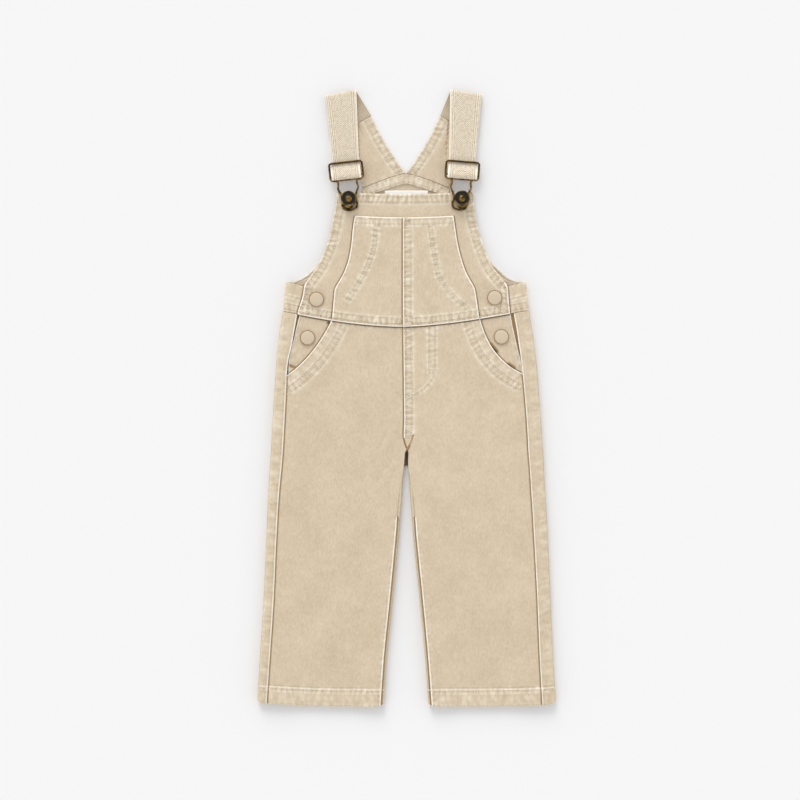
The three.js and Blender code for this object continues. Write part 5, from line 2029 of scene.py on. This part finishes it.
@made_once
def twill():
    """Washed cotton twill, rubbed pale along its edges and gathers, with shade painted into its colour
    beside tucked edges, in gaps, stitch grooves and pucker valleys.
    """
    values = settings()
    shader = Shader("washed_twill", Roughness=0.9, Sheen_Weight=0.1, Sheen_Roughness=0.5)
    edge, tuck = shader.field("edge"), shader.field("tuck")
    track, line, gather = shader.field("track"), shader.field("line"), shader.field("gather")
    near = shader.field("near")
    cloud = shader.speckle(34.0, 3.0) - 0.5
    patchy = shader.speckle(150.0, 3.0, 4.0) - 0.5
    grain = shader.speckle((980.0, 330.0, 700.0), 3.0, 7.0) - 0.5
    broken = (shader.speckle(95.0, 3.0, 11.0) - 0.5) * 3.0
    # Paler towards the shoulders, darker towards the hems
    upward = shader.node("ShaderNodeSeparateXYZ", inputs={0: shader.place((1.0, 1.0, 1.0))}, output=1)
    tone = cloud * 0.6 + patchy * 0.45 + grain * 1.1 + upward * 0.25 + 0.5
    dark, light = toned(values.sand, (0.83, 0.8, 0.74)), toned(values.sand, (1.15, 1.18, 1.22))
    colour = shader.blend(tone.clamped(), dark, light)

    ridge = (gather * 0.7 + patchy * 1.3).math("MAXIMUM", 0.0) * near
    beside_line = line.bell(1.9, 1.3) * 0.22 + track.bell(TRACK_GAP + 1.9, 1.3) * 0.3
    colour = shader.blend((ridge + near * 0.3 + beside_line).clamped(), colour, opaque(values.worn))
    # Blended towards the shade colour: pucker valleys, partly by deeper dye and partly by painted shade, and
    # painted shade in stitch grooves, beside tucked edges and just inside each rubbed edge
    valley = (gather * -1.2 - patchy * 0.8).math("MAXIMUM", 0.0) * near * 0.42
    stitched = (track.bell(TRACK_GAP, 0.8) + line.bell(0.0, 0.8)) * 0.18
    tucked = tuck.fading(0.9, 1.65) * (broken * 0.1 + 0.95)
    shadow_beside_edge = edge.bell(2.1, 0.8) * (broken * 0.15 + 0.14)
    shade_and_dye = (tucked + valley + stitched + shadow_beside_edge).clamped()
    colour = shader.blend(shade_and_dye, colour, opaque(values.shade))
    # Painted dark shade inside deep gaps
    colour = shader.blend((tuck * -1.2).clamped(), colour, opaque(GAP_SHADE_BROWN))
    seam_line = edge.fading(0.6, 1.35) * (broken * 0.45 + 0.9)
    colour = shader.blend(seam_line.clamped(), colour, opaque(values.bleached))
    shader.drive("Base Color", colour)

    spot = shader.place((1000.0, 1000.0, 1000.0))
    diagonal = shader.node(
        "ShaderNodeVectorMath", {"operation": "DOT_PRODUCT"}, {0: spot, 1: (4.6, 6.4, 0.0)}, output="Value"
    )
    weave = diagonal.math("SINE") * 0.02
    fuzz = grain * 0.14 + patchy * 0.12
    sunk = track.bell(TRACK_GAP, 0.9) * -0.25 + line.bell(0.0, 0.9) * -0.25
    roll = edge.bell(2.0, 1.1) * -0.2
    shader.bump(weave + fuzz + sunk + roll, 1.0)
    return shader.material


@made_once
def sheltered_twill():
    """Twill inside the side openings, in light that comes off the cloth around it."""
    shader = Shader("sheltered_twill", Roughness=1.0, Specular_IOR_Level=0.0)
    grain = shader.speckle(400.0, 2.0)
    colour = shader.blend(grain, opaque(EMBER), toned(EMBER, 0.75))
    shader.drive("Base Color", colour)
    return shader.material


@made_once
def webbing_cloth():
    """Herringbone webbing, paler than the twill, with bright rubbed edges, and the part that lies behind at
    the shoulder tan with shade painted on it, darkest towards the fold.
    """
    values = settings()
    shader = Shader("herringbone_webbing", Roughness=0.85, Sheen_Weight=0.2, Sheen_Roughness=0.5)
    across, along, edge = shader.field("across"), shader.field("along"), shader.field("edge")
    zigzag = (across / 2.9).math("PINGPONG", 1.0) * 4.0
    twill_lines = ((along + zigzag) * (2 * math.pi / 2.1)).math("SINE")
    inside = 1.0 - (1.0 - (edge - 4.6)).clamped()
    ribs = (edge * (2 * math.pi / RIB_PITCH)).math("COSINE") * (1.0 - inside)
    grain = shader.speckle(900.0, 2.0)
    patchy = shader.speckle(120.0, 2.0, 3.0)
    weave = twill_lines * inside
    behind = shader.field("behind")
    blotch = shader.speckle((620.0, 300.0, 400.0), 2.0, 9.0)
    dark = (weave * -0.5 + ribs * -0.5 + (grain - 0.5) * 1.3 + (blotch - 0.5) * 1.2 + 0.38).clamped()
    colour = shader.blend(dark, toned(values.webbing, 1.2), toned(values.webbing, (0.66, 0.61, 0.5)))
    share = across / (2 * WEBBING_HALF_WIDTH)
    inner_side = edge.bell(0.3, 1.0) * (share * 0.75 + 0.2)
    bright = inner_side + edge.bell(0.3, 1.1) * shader.field("slider")
    bright = bright * (patchy * 0.8 + 0.5) * (1.0 - behind)
    colour = shader.blend(bright.clamped(), colour, opaque(values.bleached))
    # The part behind: tan, partly the webbing's inner face and partly painted shade, with more painted shade
    # towards the fold
    inward = shader.blend(dark, toned(values.sand, 0.95), toned(values.sand, 0.66))
    shade_toward_fold = ((along - 6.0) / 32.0).clamped() * (share.clamped() * 0.5 + 0.4)
    inward = shader.blend(shade_toward_fold, inward, opaque(values.shade))
    colour = shader.blend(behind, colour, inward)
    shader.drive("Base Color", colour)
    shader.bump(weave * 0.07 + (grain - 0.5) * 0.08, 1.0)
    return shader.material


@made_once
def antique_brass():
    """Dark antique brass, brighter where it is handled, with patina in the button's hollow ring and painted
    shade under its cap.
    """
    values = settings()
    shader = Shader("antique_brass", Metallic=1.0, Roughness=0.38)
    recess, dull = shader.field("recess"), shader.field("dull")
    wear = shader.speckle(300.0, 3.0)
    fine = shader.speckle(2400.0, 3.0, 5.0)
    rubbed = ((wear - 0.38) * 3.5).clamped() * (1.0 - recess) * (1.0 - dull * 0.85)
    colour = shader.blend(rubbed * 0.85, opaque(values.patina), opaque(values.brass))
    # Patina in the hollow ring, and painted shade on the collar and foot under the cap
    colour = shader.blend(recess * 0.9, colour, opaque(values.tarnish_and_shade))
    shader.drive("Base Color", colour)
    shader.drive("Roughness", wear * 0.25 + 0.26 + recess * 0.2)
    shader.bump(fine * 0.05 + wear * 0.06, 1.0)
    return shader.material


@made_once
def enamel():
    """Beige enamel on a metal cap, with shade painted round its rim and at its foot."""
    values = settings()
    shader = Shader("beige_enamel", Roughness=0.42, Coat_Weight=0.15, Coat_Roughness=0.3)
    groove, foot = shader.field("groove"), shader.field("foot")
    cloud = shader.speckle(300.0, 3.0)
    colour = shader.blend(cloud * 0.3, opaque(values.enamel), toned(values.enamel, 0.93))
    # Painted shade round the rim and at the foot
    colour = shader.blend((groove * 0.95 + foot * 1.0).clamped(), colour, opaque(values.shade))
    shader.drive("Base Color", colour)
    shader.bump(cloud * 0.04, 1.0)
    return shader.material


@made_once
def label_weave():
    """Plain white satin ribbon."""
    shader = Shader("white_ribbon", Roughness=0.6, Sheen_Weight=0.15)
    ribs = shader.place((1000.0, 1000.0, 1000.0))
    wave = shader.node(
        "ShaderNodeVectorMath", {"operation": "DOT_PRODUCT"}, {0: ribs, 1: (0.0, 12.0, 0.0)}, output="Value"
    ).math("SINE")
    grain = shader.speckle(1100.0, 2.0)
    colour = shader.blend(grain * 0.5, (0.95, 0.95, 0.95, 1.0), (0.87, 0.87, 0.87, 1.0))
    shader.drive("Base Color", colour)
    shader.bump(wave * 0.03 + grain * 0.04, 1.0)
    return shader.material


@made_once
def thread():
    """Sewing thread, a little paler than the cloth."""
    values = settings()
    shader = Shader("cotton_thread", Roughness=0.7, Sheen_Weight=0.2)
    tone = shader.speckle(500.0, 2.0)
    colour = shader.blend(tone, opaque(values.thread), toned(values.thread, 0.85))
    shader.drive("Base Color", colour)
    ply = shader.speckle(4000.0, 1.0, 2.0)
    shader.bump(ply * 0.05, 1.0)
    return shader.material


@made_once
def needle_hole():
    """Shaded dent where the needle went through."""
    shader = Shader("needle_hole", Roughness=0.95)
    shader.surface.inputs["Base Color"].default_value = toned(settings().sand, 0.74)
    return shader.material


@made_once
def paper():
    """Plain white background paper."""
    shader = Shader("white_paper", Roughness=0.9, Specular_IOR_Level=0.0)
    fibre = shader.speckle(60.0, 3.0)
    colour = shader.blend(fibre * 0.2, (0.9, 0.9, 0.9, 1.0), (0.885, 0.885, 0.885, 1.0))
    shader.drive("Base Color", colour)
    return shader.material


# Stage

PHOTO_SIDE = 800
MM_PER_PIXEL = 0.95
PHOTO_ORIGIN = (406.5, 399.3)  # pixel of the photograph over the middle of the garment
LENS = 110.0
SENSOR = 36.0


SKY_COLOUR = (0.99, 0.99, 1.0, 1.0)
HORIZON_SHARE, OVERHEAD_SHARE, OVERHEAD_FROM = 1.75, 0.6, 0.8  # of the even light, by its height
SOFTBOX_COLOUR = (1.0, 0.985, 0.965)
SOFTBOX_SPREAD, SOFTBOX_TIP, SOFTBOX_TURN = 30.0, -66.0, 13.0  # degrees
FLOOR_SIDE, FLOOR_DROP = 8.0, 0.0002  # metres


def stage():
    """Pale floor, soft light from above the shoulders, and a camera straight above."""
    bpy.ops.mesh.primitive_plane_add(size=FLOOR_SIDE, location=(0.0, 0.0, -FLOOR_DROP))
    floor = bpy.context.object
    floor.name = "floor"
    floor.data.materials.append(paper())
    scene = bpy.context.scene
    scene.world = studio_sky(settings().sky)
    scene.collection.objects.link(softbox(settings().sun))
    scene.view_settings.view_transform = "Standard"
    scene.view_settings.look = "None"
    scene.camera = camera_above()
    scene.collection.objects.link(scene.camera)


def studio_sky(strength):
    """Even light that is stronger towards the horizon than overhead."""
    world = bpy.data.worlds.new("studio")
    world.use_nodes = True
    tree = world.node_tree
    sky = tree.nodes["Background"]
    sky.inputs["Color"].default_value = SKY_COLOUR
    way = tree.nodes.new("ShaderNodeTexCoord")
    parts = tree.nodes.new("ShaderNodeSeparateXYZ")
    tree.links.new(way.outputs["Generated"], parts.inputs[0])
    glow = tree.nodes.new("ShaderNodeMapRange")
    glow.interpolation_type = "SMOOTHSTEP"
    tree.links.new(parts.outputs[2], glow.inputs["Value"])
    glow.inputs["To Min"].default_value = strength * HORIZON_SHARE
    glow.inputs["To Max"].default_value = strength * OVERHEAD_SHARE
    glow.inputs["From Max"].default_value = OVERHEAD_FROM
    tree.links.new(glow.outputs[0], sky.inputs["Strength"])
    return world


def softbox(strength):
    """Soft key light from above the shoulders."""
    lamp = bpy.data.lights.new("softbox", "SUN")
    lamp.energy = strength
    lamp.angle = math.radians(SOFTBOX_SPREAD)
    lamp.color = SOFTBOX_COLOUR
    key = bpy.data.objects.new("softbox", lamp)
    key.rotation_euler = (math.radians(SOFTBOX_TIP), 0.0, math.radians(SOFTBOX_TURN))
    return key


def camera_above():
    """Camera straight above, at the distance where a pixel is MM_PER_PIXEL wide."""
    camera = bpy.data.cameras.new("camera")
    camera.lens = LENS
    camera.sensor_width = SENSOR
    camera.clip_end = 20.0
    eye = bpy.data.objects.new("camera", camera)
    centre_x = (PHOTO_SIDE / 2 - PHOTO_ORIGIN[0]) * MM_PER_PIXEL + CENTRING[0]
    centre_y = (PHOTO_ORIGIN[1] - PHOTO_SIDE / 2) * MM_PER_PIXEL + CENTRING[1]
    height = PHOTO_SIDE * MM_PER_PIXEL * LENS / SENSOR
    eye.location = (centre_x * 0.001, centre_y * 0.001, height * 0.001)
    return eye


# Settings, operators and panel

class OverallsSettings(bpy.types.PropertyGroup):
    """Sizes and colours that a user would change."""

    sand: FloatVectorProperty(
        name="Twill", description="Colour of the cloth", subtype="COLOR", default=(0.668, 0.553, 0.4)
    )
    worn: FloatVectorProperty(
        name="Rubbed twill",
        description="Colour of rubbed cloth",
        subtype="COLOR",
        default=(0.87, 0.785, 0.63),
    )
    bleached: FloatVectorProperty(
        name="Edges", description="Colour of the palest edges", subtype="COLOR", default=(1.0, 0.965, 0.87)
    )
    # Painted shade beside tucked edges, in gaps, stitch grooves and pucker valleys (there partly deeper
    # dye), round the snaps and on the webbing behind
    shade: FloatVectorProperty(
        name="Shaded twill", description="Colour in seams", subtype="COLOR", default=(0.32, 0.205, 0.082)
    )
    webbing: FloatVectorProperty(
        name="Webbing", description="Colour of the straps", subtype="COLOR", default=(0.74, 0.655, 0.525)
    )
    thread: FloatVectorProperty(
        name="Thread", description="Colour of the stitches", subtype="COLOR", default=(0.85, 0.765, 0.615)
    )
    enamel: FloatVectorProperty(
        name="Snaps", description="Colour of the snap caps", subtype="COLOR", default=(0.66, 0.548, 0.395)
    )
    brass: FloatVectorProperty(
        name="Brass", description="Handled metal", subtype="COLOR", default=(0.47, 0.3, 0.09)
    )
    patina: FloatVectorProperty(
        name="Patina", description="Darkened metal", subtype="COLOR", default=(0.06, 0.036, 0.012)
    )
    # Patina in recesses, and painted shade under the button caps
    tarnish_and_shade: FloatVectorProperty(
        name="Tarnish", description="Metal in recesses", subtype="COLOR", default=(0.036, 0.038, 0.034)
    )
    gather_height: FloatProperty(
        name="Gathers", description="Height of the waves along sewing, in millimetres", default=0.42
    )
    stitch_pitch: FloatProperty(name="Pitch", description="Between stitches, in millimetres", default=2.6)
    stitch_length: FloatProperty(name="Length", description="Of a stitch, in millimetres", default=1.9)
    stitch_width: FloatProperty(name="Width", description="Of a stitch, in millimetres", default=0.75)
    hole_width: FloatProperty(name="Hole", description="Of a needle hole, in millimetres", default=0.6)
    sky: FloatProperty(name="Sky", description="Strength of the even light", default=1.04)
    sun: FloatProperty(name="Softbox", description="Strength of the soft key light", default=1.48)
    seed: IntProperty(name="Seed", description="Of the stitches' sway", default=3)


def settings():
    return bpy.context.scene.overalls


class Maker(bpy.types.Operator):
    """Base of the operators that build pieces."""

    bl_idname = "overalls.base"
    bl_label = "Build"

    def execute(self, context):
        for build in self.builds:
            build()
        return {"FINISHED"}


def for_sides(build):
    """A builder called for each side."""
    def both():
        for side in SIDES:
            build(side)

    return both


def all_snaps():
    for name in SNAPS:
        snap(name)


class BackOperator(Maker):
    """Builds the back, its tabs, the neck band and the yoke"""

    bl_idname = "overalls.back"
    bl_label = "Back and yoke"
    builds = (back_panel, neck_band, for_sides(yoke_strap))


class LegsOperator(Maker):
    """Builds both legs with their pockets and side openings"""

    bl_idname = "overalls.legs"
    bl_label = "Legs"
    builds = (
        for_sides(back_leg), for_sides(side_placket), for_sides(hip_facing), for_sides(front_leg),
    )


class BibOperator(Maker):
    """Builds the front bib and its pocket"""

    bl_idname = "overalls.bib"
    bl_label = "Bib"
    builds = (front_bib, for_sides(bib_pocket_half))


class StrapsOperator(Maker):
    """Builds the webbing straps"""

    bl_idname = "overalls.straps"
    bl_label = "Straps"
    builds = (for_sides(webbing),)


class HardwareOperator(Maker):
    """Builds the buckles, tack buttons and snaps"""

    bl_idname = "overalls.hardware"
    bl_label = "Hardware"
    builds = (for_sides(buckle), for_sides(tack_button), all_snaps)


class LabelOperator(Maker):
    """Builds the plain label"""

    bl_idname = "overalls.label"
    bl_label = "Label"
    builds = (label,)


class StitchingOperator(Maker):
    """Lays the topstitching on the cloth"""

    bl_idname = "overalls.stitching"
    bl_label = "Topstitching"
    builds = (stitching,)


class StageOperator(Maker):
    """Sets the floor, light and camera"""

    bl_idname = "overalls.stage"
    bl_label = "Stage"
    builds = (stage,)


OPERATORS = (
    BackOperator, LegsOperator, BibOperator, StrapsOperator, HardwareOperator, LabelOperator,
    StitchingOperator, StageOperator,
)


class OverallsPanel(bpy.types.Panel):
    """Buttons for each group of pieces"""

    bl_idname = "VIEW3D_PT_overalls"
    bl_label = "Overalls"
    bl_space_type = "VIEW_3D"
    bl_region_type = "UI"
    bl_category = "Overalls"

    def draw(self, context):
        for operator in OPERATORS:
            self.layout.operator(operator.bl_idname)
        for name in OverallsSettings.__annotations__:
            self.layout.prop(context.scene.overalls, name)


CLASSES = (OverallsSettings, *OPERATORS, OverallsPanel)


def register():
    for each in CLASSES:
        bpy.utils.register_class(each)
    bpy.types.Scene.overalls = PointerProperty(type=OverallsSettings)


def unregister():
    del bpy.types.Scene.overalls
    for each in reversed(CLASSES):
        bpy.utils.unregister_class(each)


def main():
    register()
    for operator in OPERATORS:
        group, name = operator.bl_idname.split(".")
        getattr(getattr(bpy.ops, group), name)()


if __name__ == "__main__":
    main()
